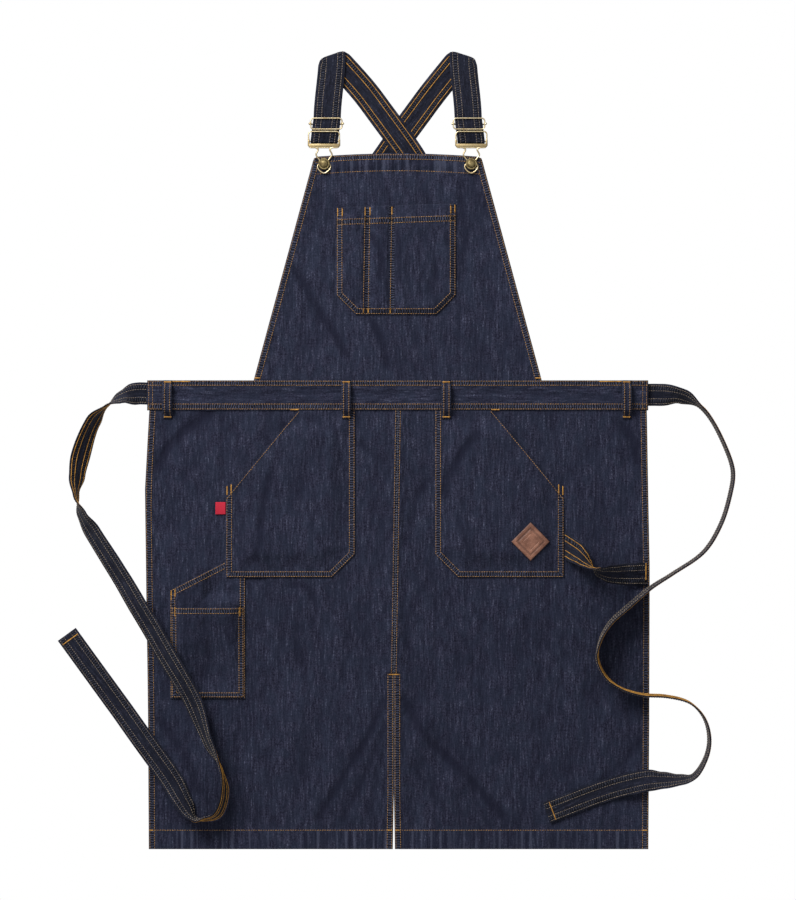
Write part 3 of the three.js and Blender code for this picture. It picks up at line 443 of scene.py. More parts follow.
def cloth_piece(name, cells, place, seams, creases, hem=no_hem):
    """A sheet of denim: place(u, v) gives its upper face, and seams the lines it puckers along."""
    bm = bmesh.new()
    bmesh.ops.create_grid(bm, x_segments=cells[0], y_segments=cells[1], size=0.5)
    piece = object_of(bm, name + "_cloth")
    mesh = piece.data
    co = np.empty(3 * len(mesh.vertices))
    mesh.vertices.foreach_get("co", co)
    x, y, z = place(co[0::3] + 0.5, co[1::3] + 0.5)
    deep = creased(creases, x, y)
    z = z - CREASE_DIP * deep
    at = np.stack([AXIS + x * MM, TOP + y * MM, z * MM], axis=1)
    mesh.vertices.foreach_set("co", at.ravel())
    mesh.update()
    set_attribute(mesh, "cloth", "FLOAT_VECTOR", np.stack([x * MM, y * MM, 0 * x], axis=1))
    away, run = (np.stack(found) for found in zip(*(distance_to(chain, x, y) for chain in seams)))
    nearest = np.argmin(away, axis=0)[None]
    set_attribute(mesh, "seam", "FLOAT", np.take_along_axis(away, nearest, 0))
    set_attribute(mesh, "run", "FLOAT", np.take_along_axis(run, nearest, 0))
    # The creases' depth also darkens the denim's colour, as painted shade.
    set_attribute(mesh, "crease", "FLOAT", deep)
    set_attribute(mesh, "hem", "FLOAT", hem(x, y))
    thicken(piece, CLOTH)
    return keep(piece, DENIM, [name])


def swept(bm, ring, stations, closed=False):
    """A bar: the ring's points, as shares of two vectors at each station (centre, side, up)."""
    around, along = len(ring), len(stations) - (0 if closed else 1)
    made = bmesh.ops.create_grid(bm, x_segments=around, y_segments=along, size=0.5)["verts"]
    places = []
    for vert in made:
        i = round((vert.co.x + 0.5) * around) % around
        j = round((vert.co.y + 0.5) * along) % len(stations)
        a, b = ring[i]
        centre, side, up = stations[j]
        vert.co = world(*(centre + side * a + up * b))
        places.append((vert, i, j))
    return places


def close(bm, caps=True):
    bmesh.ops.remove_doubles(bm, verts=bm.verts, dist=1e-6)
    if caps:
        edges = [edge for edge in bm.edges if edge.is_boundary]
        bmesh.ops.holes_fill(bm, edges=edges, sides=0)
    bmesh.ops.recalc_face_normals(bm, faces=bm.faces)


def circle(sides):
    return [(math.cos(2 * math.pi * i / sides), math.sin(2 * math.pi * i / sides)) for i in range(sides)]


def flat_ring(half, thick, count=10):
    """A strap's section: flat faces, rounded edges and a slight crown, in shares of its half width."""
    edge = thick / 2 / half
    across = [mix(1 - edge, -1 + edge, i / count) for i in range(count + 1)]
    crown = [thick / 2 * (0.86 + 0.14 * math.cos(1.4 * a)) for a in across]
    bend = [(math.cos(t), math.sin(t)) for t in (-0.5, 0.5)]
    right = [(1 - edge + edge * c, thick / 2 * s) for c, s in bend]
    left = [(-1 + edge - edge * c, -thick / 2 * s) for c, s in bend]
    upper = list(zip(across, crown))
    lower = [(a, -b) for a, b in reversed(upper)]
    return [*right, *upper, *left, *lower]


def shade_sides(piece, low, high):
    """Marks the faces of metal that turn from the sky for painted shade, 0 at one upward share and 1 at the
    lower.
    """
    normals = np.empty(3 * len(piece.data.vertices))
    piece.data.vertices.foreach_get("normal", normals)
    set_attribute(piece.data, "edge", "FLOAT", smooth((high - normals[2::3]) / (high - low)))


def denim_layers(bm):
    """The attributes that the denim reads, on a bar of cloth."""
    numbers = bm.verts.layers.float
    return bm.verts.layers.float_vector.new("cloth"), numbers.new("run"), numbers.new("seam")


def strip(name, stations, thick, material, nodes):
    """A strap or tie through stations of (centre, across, normal)."""
    half = stations[5][1].length
    bm = bmesh.new()
    cloth, run, seam = denim_layers(bm)
    ring = flat_ring(half, thick)
    places = swept(bm, ring, stations)
    length = [0.0]
    for before, after in zip(stations, stations[1:]):
        length.append(length[-1] + (after[0] - before[0]).length)
    for vert, i, j in places:
        vert[cloth] = Vector((ring[i][0] * half, length[j], 0)) * MM
        vert[run] = length[j]
        vert[seam] = abs(abs(ring[i][0]) * half - 0.58 * half) + 1.5
    close(bm)
    return keep(object_of(bm, name), material, nodes)


# Routes of straps and ties

def curve(points, divisions=30):
    """A dense centripetal Catmull-Rom curve: points, and each one's place in the table."""
    dense = []
    for k in range(len(points) - 1):
        p1, p2 = points[k], points[k + 1]
        p0 = points[k - 1] if k else 2 * p1 - p2
        p3 = points[k + 2] if k + 2 < len(points) else 2 * p2 - p1
        d0, d1, d2 = ((b - a).length ** 0.5 for a, b in ((p0, p1), (p1, p2), (p2, p3)))
        t1 = ((p1 - p0) / d0 - (p2 - p0) / (d0 + d1) + (p2 - p1) / d1) * d1
        t2 = ((p2 - p1) / d1 - (p3 - p1) / (d1 + d2) + (p3 - p2) / d2) * d1
        for i in range(divisions):
            s = i / divisions
            c2 = 3 * (p2 - p1) - 2 * t1 - t2
            c3 = 2 * (p1 - p2) + t1 + t2
            dense.append((p1 + t1 * s + c2 * s * s + c3 * s**3, k + s))
    dense.append((points[-1], len(points) - 1))
    return dense


def evenly(points, spacing):
    """Places at even steps along a curve: (point, heading, place in the table)."""
    dense = curve(points)
    at = np.array([p for p, _ in dense])
    places = np.array([place for _, place in dense])
    far = np.concatenate([[0], np.cumsum(np.linalg.norm(np.diff(at, axis=0), axis=1))])
    count = max(2, round(far[-1] / spacing))
    runs = np.linspace(0, far[-1], count + 1)
    spots = np.stack([np.interp(runs, far, at[:, k]) for k in range(3)], axis=1)
    heads = np.gradient(spots, axis=0)
    heads /= np.linalg.norm(heads, axis=1)[:, None]
    table = np.interp(runs, far, places)
    return [(Vector(p), Vector(h), t) for p, h, t in zip(spots, heads, table)]


def eased(heights, reach):
    """Raises a row of heights to the highest within reach and rounds off the steps."""
    n = len(heights)
    top = [max(heights[max(0, i - reach):i + reach + 1]) for i in range(n)]
    return [float(np.mean(top[max(0, i - reach):i + reach + 1])) for i in range(n)]


def band_along(rows, width, thick, spacing, floor_at, reach=4):
    """Stations of a band over what is below it: a roll of 0 is face up, 90 on edge, past 90 back up."""
    route = evenly([Vector((x, y, 0)) for x, y, _, _ in rows], spacing)
    stations = []
    floors = []
    for at, heading, place in route:
        k = min(len(rows) - 2, int(place))
        t = float(smooth(place - k))
        roll = math.radians(mix(rows[k][2], rows[k + 1][2], t))
        lift = mix(rows[k][3], rows[k + 1][3], t)
        side = Vector((-heading.y, heading.x, 0)).normalized()
        c, s = math.cos(roll), math.sin(roll)
        spread = width / 2 * abs(c)
        floors.append(max(float(floor_at(at.x + side.x * e * spread, at.y + side.y * e * spread))
                          for e in (-1, -0.5, 0, 0.5, 1)))
        stations.append((at, side, c, s, lift))
    floors = eased(floors, reach)
    made = []
    for (at, side, c, s, lift), floor in zip(stations, floors):
        height = floor + lift + width / 2 * abs(s) + thick / 2 * abs(c)
        across = side * (c * width / 2) + Vector((0, 0, s * width / 2))
        made.append((Vector((at.x, at.y, height)), across, Vector((0, 0, c)) - side * s))
    return made


# The waist ties: x and y from the waistband's end and top edge as shares of the tie's length, and roll in
# degrees
LEFT_TIE = [
    (0, -0.0175, 0), (-0.014, -0.0175, 0), (-0.034, -0.0225, 55), (-0.053, -0.034, 90),
    (-0.071, -0.055, 126), (-0.088, -0.1, 142), (-0.0925, -0.128, 128), (-0.0935, -0.153, 96),
    (-0.0863, -0.178, 58), (-0.0723, -0.202, 36), (-0.041, -0.252, 30), (-0.0165, -0.292, 26),
    (0.0195, -0.352, 24), (0.0605, -0.424, 30), (0.0815, -0.48, 58), (0.099, -0.516, 88),
    (0.1036, -0.55, 108), (0.0935, -0.577, 112), (0.078, -0.582, 106), (0.065, -0.5825, 88),
    (0.051, -0.563, 46), (0.0328, -0.532, 16), (0.001, -0.488, 4), (-0.05, -0.418, 0),
    (-0.1078, -0.3384, 0),
]
RIGHT_TIE = [
    (0.0, -0.0175, 0), (0.012, -0.0175, 0), (0.04, -0.0195, 50), (0.0625, -0.0325, 88),
    (0.078, -0.0523, 90), (0.0989, -0.0987, 90), (0.1015, -0.115, 90), (0.0977, -0.139, 90),
    (0.0867, -0.174, 90), (0.0663, -0.207, 90), (0.0295, -0.233, 90), (0.002, -0.25, 88),
    (-0.0261, -0.2735, 86), (-0.0477, -0.2936, 88), (-0.0586, -0.3123, 92), (-0.0628, -0.3354, 98),
    (-0.053, -0.3574, 96), (-0.036, -0.3712, 90), (-0.0105, -0.3797, 90), (0.0219, -0.3822, 90),
    (0.0492, -0.3898, 90), (0.0659, -0.407, 90), (0.0727, -0.4308, 90), (0.0693, -0.4546, 90),
    (0.0544, -0.4785, 86), (0.0391, -0.4825, 70), (0.0175, -0.4835, 50), (-0.002, -0.4845, 22),
    (-0.05, -0.497, 0), (-0.1228, -0.5244, 0),
]
# The hammer loop, as shares of its span, with its roll and its lift
HAMMER_ROUTE = [
    (0, 0, 180, 0), (0.095, -0.061, 176, 0.3), (0.19, -0.143, 140, 1), (0.285, -0.232, 112, 0.8),
    (0.337, -0.27, 90, 0.7), (0.42, -0.318, 60, 0.7), (0.56, -0.345, 34, 1), (0.8, -0.353, 12, 0.6),
    (1, -0.353, 0, 0),
]


def lies_on(x, y):
    """The top of the cloth at a place, or the table beside it."""
    if y > WAIST - 6:
        beside = abs(x) - BAND["width"] / 2
        return (BAND_UNDER - GAP - STRAP) * (1 - float(smooth(beside / 60)))
    if not skirt_left(y) - 1 < x < skirt_right(y) + 1 or y < HEM_LINE - 1:
        return 0.0
    height = float(skirt_top(x, y)) + HEM
    if TOOL_LEFT - 1 < x < TOOL_RIGHT + 1 and TOOL_BOTTOM - 1 < y < tool_mouth(x) + 1:
        height = max(height, float(tool_top(x, y)))
    if INNER_LEFT - 1 < x < INNER_RIGHT + 1 and INNER_BOTTOM - 1 < y < INNER_TOP + 1:
        height = max(height, float(inner_top(x, y)))
    return height + GAP


def tie_stations(side, table, length):
    end = side * BAND["width"] / 2
    rows = [(end - side * TIE["tuck"], table[0][1] * length, 0, 0)]
    rows += [(end + x * length, y * length, roll, 0) for x, y, roll in table]
    return band_along(rows, TIE["width"], STRAP, 4, lies_on)


def hammer_stations():
    start = HANDS["right"]["outer"] + 2 * GAP
    y0 = WAIST - HAMMER["below"]
    span = float(skirt_right(y0)) - SKIRT["side"] / 2 - start
    rows = [(start + x * span, y0 + y * span, roll, lift * HAMMER["rise"])
            for x, y, roll, lift in HAMMER_ROUTE]
    seat = PLATEAU + CLOTH + HEM + GAP
    stations = band_along(rows, HAMMER["width"], STRAP, 3, lambda x, y: seat)
    centre, across, normal = stations[0]
    slant = abs(across.y) / across.length
    first = (centre, Vector((0, math.copysign(HAMMER["width"] / 2 / slant, across.y), 0)), normal)
    return [first, *stations[5:]]


# Shoulder straps, worked out for the right side and mirrored for the left
SLIDER_Y = BIB["height"] + SLIDER["above"] + SLIDER["height"] / 2
BUCKLE_Y = BIB["height"] + BUCKLE["above"] + BUCKLE["height"] / 2
CROSSBAR_Y = BUCKLE_Y - BUCKLE["bar_below"]
CROSS_Y = BIB["height"] + BRACE["cross"]
BACK_RUN = [(0.53, 0.565), (0.27, 0.29), (0.0, 0.0), (-0.176, -0.2)]
HIDDEN_RUN = [(-0.129, 0.862), (-0.252, 0.62), (-0.372, 0.345), (-0.468, 0.07)]
FOLD_AT = (-0.55, -0.276)
END_AT = (-0.858, -0.069)


def crease_of(before, after, face):
    out = (before - after).normalized()
    along = Vector((-out.y, out.x, 0))
    if along.dot(Vector((-before.y, before.x, 0))) * face < 0:
        along.negate()
    return along, out


def fold_stations(centre, along, out, half, low_first):
    radius = LAYER / 2
    made = []
    for i in range(9):
        turn = math.radians(180 - 22.5 * i if low_first else 22.5 * i)
        normal = out * math.sin(turn) + Vector((0, 0, math.cos(turn)))
        at = Vector((centre.x, centre.y, 0)) + out * (radius * math.sin(turn))
        at.z = STRAP / 2 + radius + radius * math.cos(turn)
        made.append((at, along * half, normal))
    return made


def brace_stations(side):
    half = BRACE["width"] / 2

    def inward_at(y):
        return SLIDER["inward"] * max(0.0, (y - CROSSBAR_Y) / (SLIDER_Y - CROSSBAR_Y))

    def in_plane(y, z, ny, nz):
        x = BUTTON_X - inward_at(y)
        return Vector((x, y, z)), Vector((-half, 0, 0)), Vector((0, ny, nz)).normalized()

    def around(y, start, end):
        turns = [math.radians(mix(start, end, i / 10)) for i in range(11)]
        return [in_plane(y + WRAP * math.cos(t), BAR + WRAP * math.sin(t), math.cos(t), math.sin(t))
                for t in turns]

    rise = SLIDER_Y - BRACE["tail"] - CROSSBAR_Y
    start = [in_plane(SLIDER_Y - BRACE["tail"], OVER_BAR, 0, 1), *around(SLIDER_Y, 90, -90),
             *around(CROSSBAR_Y, -90, -270)]
    over = [in_plane(CROSSBAR_Y + rise * t, OVER_BAR + LAYER * float(smooth((t - 0.1) / 0.6)),
                     -0.2 if 0.2 < t < 0.7 else 0, 1) for t in (0.15, 0.3, 0.45, 0.6, 0.75, 0.9)]
    over.append(in_plane(SLIDER_Y + SLIDER["height"] / 2, OVER_TAIL, 0, 1))

    peak = Vector((BRACE["spread"], BIB["height"] + BRACE["peak"], 0))
    lean = math.radians(BRACE["lean"])
    up = Vector((-math.sin(lean), math.cos(lean), 0))
    aside = side * BRACE["aside"]
    back = [Vector((x * peak.x + aside, CROSS_Y + y * (peak.y - CROSS_Y), 0)) for x, y in BACK_RUN]
    along, out = crease_of(up, (back[0] - peak).normalized(), 1)
    crease_half = half / abs(along.x * up.y - along.y * up.x)

    def flat(at, heading, z, face, k=0.0):
        left = Vector((-heading.y, heading.x, 0)) * (face * half)
        return Vector((at.x, at.y, z)), left.lerp(along * crease_half, k), Vector((0, 0, face))

    top = LAYER + STRAP / 2
    top_y = SLIDER_Y + SLIDER["height"] / 2
    begin = Vector((BUTTON_X - inward_at(top_y), top_y, 0))
    front = []
    for i in range(1, 15):
        t = i / 15
        at = Vector((mix(begin.x, peak.x, float(smooth(t * 0.9 + 0.05))), mix(begin.y, peak.y - 2, t), 0))
        height = mix(OVER_TAIL, top + 0.2, float(smooth(t * 1.05)))
        front.append(flat(at, up, height, 1, max(0, t - 0.8) * 2))
    front.append(flat(peak - up * 2, up, top, 1, 1))

    points = [*back, *(Vector((x * BAND["width"] / 2, y * BIB["height"], 0)) for x, y in HIDDEN_RUN)]
    fold = Vector((FOLD_AT[0] * BAND["width"] / 2, FOLD_AT[1] * BIB["height"], 0))
    end = Vector((END_AT[0] * BAND["width"] / 2, END_AT[1] * BIB["height"], 0))
    route = evenly([peak, *points, fold], 4)
    behind = []
    for i, (at, heading, _) in enumerate(route[1:-8]):
        away = math.hypot(at.x, at.y - CROSS_Y)
        lift = LAYER * (1 - float(smooth((away - 36) / 26))) if side < 0 else 0
        behind.append(flat(at, heading, STRAP / 2 + lift, -1, max(0, 1 - i / 3) * 0.2))
    into = route[-1][1]
    leaving = (end - fold).normalized()
    low_along, low_out = crease_of(into, leaving, -1)
    low_half = half / abs(low_along.x * into.y - low_along.y * into.x)
    end_z = BAND_UNDER - GAP - STRAP / 2
    out_run = [flat(fold.lerp(end, t), leaving, mix(top, end_z, float(smooth((t - 0.22) / 0.2))), 1)
               for t in (0.22, 0.27, 0.32, 0.37, 0.42, 0.6, 0.8, 1)]
    made = [*start, *over, *front, *fold_stations(peak, along, out, crease_half, False), *behind,
            *fold_stations(fold, low_along, low_out, low_half, True), *out_run]
    if side > 0:
        return made
    flip = Vector((-1, 1, 1))
    return [(centre * flip, Vector((across.x, -across.y, -across.z)), normal * flip)
            for centre, across, normal in made]


# Shader maths

class Value:
    """A socket in an expression: each operator adds a Math node."""

    def __init__(self, look, socket):
        self.look = look
        self.socket = socket

    def maths(self, operation, *others):
        inputs = dict(enumerate((self, *others)))
        return self.look.node("ShaderNodeMath", {"operation": operation}, inputs)

    def __add__(self, other):
        return self.maths("ADD", other)

    def __sub__(self, other):
        return self.maths("SUBTRACT", other)

    def __rsub__(self, other):
        return self.look.node("ShaderNodeMath", {"operation": "SUBTRACT"}, {0: other, 1: self})

    def __mul__(self, other):
        return self.maths("MULTIPLY", other)

    __radd__ = __add__
    __rmul__ = __mul__

    def sine(self):
        return self.maths("SINE")

    def between(self, low, high):
        """0 at low, 1 at high, eased between; low may be the larger."""
        return self.look.node("ShaderNodeMapRange", {"interpolation_type": "SMOOTHSTEP"},
                              {"Value": self, "From Min": low, "From Max": high})


class Look:
    """A material and the one way its nodes are made."""

    def __init__(self, name):
        self.material = bpy.data.materials.new(name)
        self.material.use_nodes = True
        self.tree = self.material.node_tree
        self.surface = self.tree.nodes["Principled BSDF"]

    def plug(self, socket, value):
        if isinstance(value, Value):
            self.tree.links.new(value.socket, socket)
        else:
            socket.default_value = value

    def node(self, kind, settings=None, inputs=None, out=0):
        made = self.tree.nodes.new(kind)
        for key, value in (settings or {}).items():
            setattr(made, key, value)
        for key, value in (inputs or {}).items():
            self.plug(made.inputs[key], value)
        return Value(self, made.outputs[out])

    def place(self):
        return self.node("ShaderNodeTexCoord", out="Object")

    def attribute(self, name, out="Fac"):
        return self.node("ShaderNodeAttribute", {"attribute_name": name}, out=out)

    def stretched(self, vector, x, y, z=1.0):
        return self.node("ShaderNodeVectorMath", {"operation": "MULTIPLY"}, {0: vector, 1: (x, y, z)})

    def noise(self, vector, scale, detail=2.0, rough=0.5):
        return self.node("ShaderNodeTexNoise", None,
                         {"Vector": vector, "Scale": scale, "Detail": detail, "Roughness": rough})

    def blend(self, factor, a, b):
        """From colour a to colour b."""
        return self.node("ShaderNodeMix", {"data_type": "RGBA"}, {0: factor, 6: a, 7: b}, out=2)

    def bump(self, height, distance, strength=1.0, normal=None):
        inputs = {"Height": height, "Distance": distance, "Strength": strength}
        if normal:
            inputs["Normal"] = normal
        return self.node("ShaderNodeBump", None, inputs)

    def set(self, **values):
        for key, value in values.items():
            self.plug(self.surface.inputs[key.replace("_", " ")], value)
        return self.material


def denim(name, deep, light, slub, weft):
    """Indigo warp over a darker ground: slubs along the warp, grain, creases with painted shade and
    puckered seams with painted shade in their dips.
    """
    look = Look(name)
    cloth = look.attribute("cloth", "Vector")
    split = look.node("ShaderNodeSeparateXYZ", None, {0: cloth})
    x, y = split, Value(look, split.socket.node.outputs[1])
    seam = look.attribute("seam")
    run = look.attribute("run")

    # The weave: long slubs, a shorter cross grain and a drift between two indigos
    streak = look.noise(look.stretched(cloth, 430, 46), 1.0, 3.0, 0.62)
    cross = look.noise(look.stretched(cloth, 150, 480), 1.0, 2.0, 0.6)
    grain = look.noise(look.stretched(cloth, 560, 430), 1.0, 2.0, 0.75)
    drift = look.noise(look.stretched(cloth, 95, 11), 1.0, 3.0, 0.55)
    hue = look.noise(look.stretched(cloth, 60, 45), 1.0, 2.0, 0.6)
    cloud = look.noise(look.stretched(cloth, 24, 13), 1.0, 4.0, 0.6)
    worn = streak.between(0.40, 0.60) * 0.4 + grain.between(0.41, 0.59) * 0.45
    worn = worn + cross.between(0.40, 0.65) * 0.15
    tone = look.blend((worn - 0.5) * 1.35 + 0.5, deep, light)
    tone = look.blend(hue.between(0.38, 0.62) * 0.5, tone, weft)
    tone = look.blend(streak.between(0.56, 0.68) * grain.between(0.48, 0.60) * 0.8, tone, slub)
    tone = look.blend(cloud.between(0.56, 0.34) * 0.3, tone, deep)
    tone = look.blend(drift.between(0.56, 0.36) * 0.35, tone, deep)
    # Painted shade: the creases darken towards the deep indigo.
    tone = look.blend(look.attribute("crease").between(0.05, 0.9) * 0.7, tone, deep)
    bars = look.noise(look.stretched(cloth, 170, 5), 1.0, 1.0)
    hem = look.attribute("hem")
    tone = look.blend(hem * bars.between(0.52, 0.66) * 0.3, tone, slub)
    tone = look.blend(hem * bars.between(0.48, 0.34) * 0.6, tone, deep)

    # Between a double row of stitches the cloth puckers into a ladder of worn ridges and of dips darkened
    # with painted shade
    near = seam.between(4.1, 2.7)
    jitter = look.noise(look.stretched(cloth, 150, 150), 1.0, 1.0)
    ladder = (run * (2 * math.pi / 3.1) + jitter * 9.0).sine() * 0.5 + 0.5
    strength = near * (jitter * 0.5 + 0.6)
    tone = look.blend(strength * ladder.between(0.55, 1.0) * 0.6, tone, slub)
    # Painted shade in the dips of the puckers, darker than the deepest indigo.
    dip = tuple(c * 0.3 for c in deep[:3]) + (1,)
    tone = look.blend(strength * ladder.between(0.5, 0.0) * 0.8, tone, dip)
    pull = seam.between(22.0, 3.0) * look.noise(look.stretched(cloth, 75, 75), 1.0, 1.0)

    twill = ((x * 0.55 + y * 0.84) * (2 * math.pi / 0.0011)).sine()
    normal = look.bump(grain * 0.7 + twill * 0.15 + streak * 0.6, 0.0004)
    normal = look.bump(ladder * near, 0.0012, 1.0, normal)
    normal = look.bump(pull, 0.0025, 1.0, normal)
    normal = look.bump(cloud + drift * 0.4, 0.005, 1.0, normal)
    return look.set(Base_Color=tone, Roughness=grain.between(0.2, 0.8) * 0.12 + 0.82,
                    Specular_IOR_Level=0.12, Normal=normal, Sheen_Weight=0.03, Sheen_Roughness=0.5)


def thread(name, colour, dark):
    look = Look(name)
    tone = look.noise(look.place(), 260.0, 2.0)
    twist = look.noise(look.place(), 2600.0, 1.0)
    return look.set(Base_Color=look.blend(tone.between(0.3, 0.7), dark, colour), Roughness=0.7,
                    Specular_IOR_Level=0.2, Normal=look.bump(twist, 0.0001))


def metal(name, bright, dull, shade, rough, patina):
    """Plated wire: bright where it faces up, and darker down its sides with painted shade, where the
    attribute edge is 1.
    """
    look = Look(name)
    wear = look.noise(look.place(), 320.0, 4.0, 0.6)
    scuff = look.noise(look.stretched(look.place(), 2400, 900), 1.0, 2.0)
    worn = wear.between(0.5 + patina, 0.5 - patina)
    # Painted shade: the sides that turn from the sky take the shade colour.
    colour = look.blend(look.attribute("edge"), look.blend(worn, bright, dull), shade)
    return look.set(Base_Color=colour, Metallic=1.0, Roughness=worn * 0.18 + scuff * 0.1 + rough,
                    Normal=look.bump(wear, 0.00008))


def hide(name):
    look = Look(name)
    place = look.place()
    grain = look.node("ShaderNodeTexVoronoi", {"feature": "SMOOTH_F1"}, {"Vector": place, "Scale": 900.0})
    tone = look.noise(place, 70.0, 5.0, 0.6)
    fleck = look.noise(place, 420.0, 3.0, 0.6)
    edge = look.attribute("edge")
    colour = look.blend(tone.between(0.35, 0.7), (0.112, 0.044, 0.026, 1), (0.235, 0.105, 0.066, 1))
    colour = look.blend(fleck.between(0.6, 0.75) * 0.5, colour, (0.33, 0.18, 0.125, 1))
    colour = look.blend(edge * 0.75, colour, (0.05, 0.021, 0.014, 1))
    normal = look.bump(grain, 0.0002)
    return look.set(Base_Color=colour, Roughness=tone * 0.2 + 0.42, Specular_IOR_Level=0.4,
                    Normal=look.bump(tone, 0.0006, 0.6, normal))


def tape(name):
    look = Look(name)
    place = look.place()
    weave = look.noise(look.stretched(place, 1500, 2600), 1.0, 2.0)
    colour = look.blend(weave.between(0.35, 0.65), (0.28, 0.008, 0.022, 1), (0.42, 0.016, 0.036, 1))
    return look.set(Base_Color=colour, Roughness=0.8, Specular_IOR_Level=0.2,
                    Normal=look.bump(weave, 0.00015))


DENIM = denim("indigo_denim", (0.0040, 0.0046, 0.0135, 1), (0.0275, 0.0292, 0.0530, 1),
              (0.075, 0.082, 0.125, 1), (0.0120, 0.0170, 0.0330, 1))
WEBBING = denim("indigo_strap", (0.0024, 0.0028, 0.0070, 1), (0.0125, 0.0135, 0.0260, 1),
                (0.052, 0.056, 0.080, 1), (0.0070, 0.0092, 0.0180, 1))
TAN = thread("tan_thread", (0.36, 0.20, 0.07, 1), (0.15, 0.08, 0.03, 1))
PALE = thread("grey_thread", (0.24, 0.19, 0.14, 1), (0.09, 0.075, 0.065, 1))
ORANGE = thread("orange_thread", (0.43, 0.215, 0.04, 1), (0.22, 0.105, 0.02, 1))
# Each metal's third colour is the painted shade down the sides of its pieces.
BRASS = metal("pale_brass", (0.80, 0.69, 0.46, 1), (0.50, 0.38, 0.20, 1), (0.12, 0.083, 0.036, 1),
              0.3, 0.16)
PLATE = metal("dull_brass", (0.47, 0.37, 0.20, 1), (0.30, 0.22, 0.105, 1), (0.075, 0.052, 0.023, 1),
              0.36, 0.2)
BRONZE = metal("antique_brass", (0.25, 0.20, 0.095, 1), (0.14, 0.105, 0.05, 1), (0.035, 0.024, 0.012, 1),
               0.52, 0.14)
LEATHER = hide("brown_leather")
RED_TAPE = tape("red_tape")

# Seam lines, as chains of points along the cloths' edges


def inset(chain, distance):
    """A chain moved to its left by a distance, its corners kept sharp."""
    made = []
    for i, point in enumerate(chain):
        here = Vector(point)
        before = (here - Vector(chain[i - 1])).normalized() if i else None
        after = (Vector(chain[i + 1]) - here).normalized() if i + 1 < len(chain) else None
        a, b = before or after, after or before
        left_a, left_b = Vector((-a.y, a.x)), Vector((-b.y, b.x))
        middle = (left_a + left_b).normalized()
        made.append(tuple(here + middle * (distance / max(0.3, middle.dot(left_a)))))
    return made


def side_line(edge, low, high, count=14):
    return [(float(edge(y)), y) for y in np.linspace(high, low, count + 1)]


def level(left, right, y):
    return [(left, y), (right, y)]


BIB_TOP_LINE = [(x, BIB["height"] + float(bib_bow(x, BIB["height"])))
                for x in np.linspace(-BIB["top"] / 2 + 0.5, BIB["top"] / 2 - 0.5, 13)]
BIB_LEFT = [(-BIB["top"] / 2, BIB["height"]), (-BIB["base"] / 2, 0)]
BIB_RIGHT = [(BIB["top"] / 2, BIB["height"]), (BIB["base"] / 2, 0)]
CHEST_MOUTH = [(CHEST_LEFT, CHEST_TOP), (CHEST_RIGHT, CHEST_TOP + CHEST["skew"])]
VENT_TOP = WAIST - 0.6 * SKIRT["length"]
SKIRT_SEAM = [(float(seam_x(y)), y) for y in np.linspace(WAIST, VENT_TOP, 10)]
TOOL_CHAIN = TOOL_SEAMS[:4]
TOOL_MOUTH = [TOOL_CHAIN[0], TOOL_CHAIN[-1]]


def hand_chain(p):
    """A hand pocket's sewn edge from its mouth's lower end, round the bottom to the waistband."""
    turn = p["side"] * HAND["chamfer"]
    return [(p["outer"], p["mouth_end"] + 12), (p["outer"], p["bottom"]), (p["inner"] + turn, p["bottom"]),
            (p["inner"], p["bottom"] + HAND["chamfer"]), (p["inner"], p["top"])]


def hand_mouth(p):
    return [(p["mouth_top"], p["top"]), (p["outer"], p["mouth_end"])]


# Cloth pieces

def bib_place(u, v):
    drop = BAND["tuck"] - GAP
    y = spaced(v, BIB_CELLS[1], BIB["height"] + drop) - drop
    half = bib_half(y)
    across = spaced(u, BIB_CELLS[0], 2 * half)
    x = across - half
    corner = smooth((np.abs(x) - half + 6) / 6) * smooth((y - BIB["height"] + 5) / 5)
    away = least(across, 2 * half - across, BIB["height"] - y)
    bowed = y + bib_bow(x, y) - 1.6 * corner
    return x, bowed, bib_top(x, y) - rolled(away)


def skirt_place(side):
    edge, middle = skirt_edge(side), vent_edge(side)

    def place(u, v):
        high = WAIST + BAND["tuck"] - GAP
        y = HEM_LINE + spaced(v, SKIRT_CELLS[1], high - HEM_LINE)
        left, right = (edge(y), middle(y)) if side < 0 else (middle(y), edge(y))
        across = spaced(u, SKIRT_CELLS[0], right - left)
        x = left + across
        away = least(across, right - left - across, y - HEM_LINE)
        return x, y, skirt_top(x, y) + skirt_hem(x, y, edge(y), middle(y)) - rolled(away)

    return place


def hand_pocket_place(name):
    p = HANDS[name]
    side = p["side"]

    def place(u, v):
        y = p["bottom"] + spaced(v, HAND_CELLS[1], p["top"] - p["bottom"])
        outer = mix(p["mouth_top"], p["outer"], np.clip((p["top"] - y) / (p["top"] - p["mouth_end"]), 0, 1))
        inner = p["inner"] + side * np.maximum(0, p["bottom"] + HAND["chamfer"] - y)
        left, right = (outer, inner) if side < 0 else (inner, outer)
        across = spaced(u, HAND_CELLS[0], right - left)
        x = left + across
        away = least(across, right - left - across, y - p["bottom"])
        return x, y, hand_top(name, x, y) - rolled(away)

    return place


def tool_place(u, v):
    x = TOOL_LEFT + spaced(u, TOOL_CELLS[0], TOOL["width"])
    height = tool_mouth(x) - TOOL_BOTTOM
    up = spaced(v, TOOL_CELLS[1], height)
    y = TOOL_BOTTOM + up
    return x, y, tool_top(x, y) - rolled(least(x - TOOL_LEFT, TOOL_RIGHT - x, up, height - up))


def inner_place(u, v):
    width = INNER_RIGHT - INNER_LEFT
    across = spaced(u, INNER_CELLS[0], width)
    up = spaced(v, INNER_CELLS[1], INNER_TOP - INNER_BOTTOM)
    x, y = INNER_LEFT + across, INNER_BOTTOM + up
    return x, y, inner_top(x, y) - rolled(least(across, width - across, up, INNER_TOP - y))


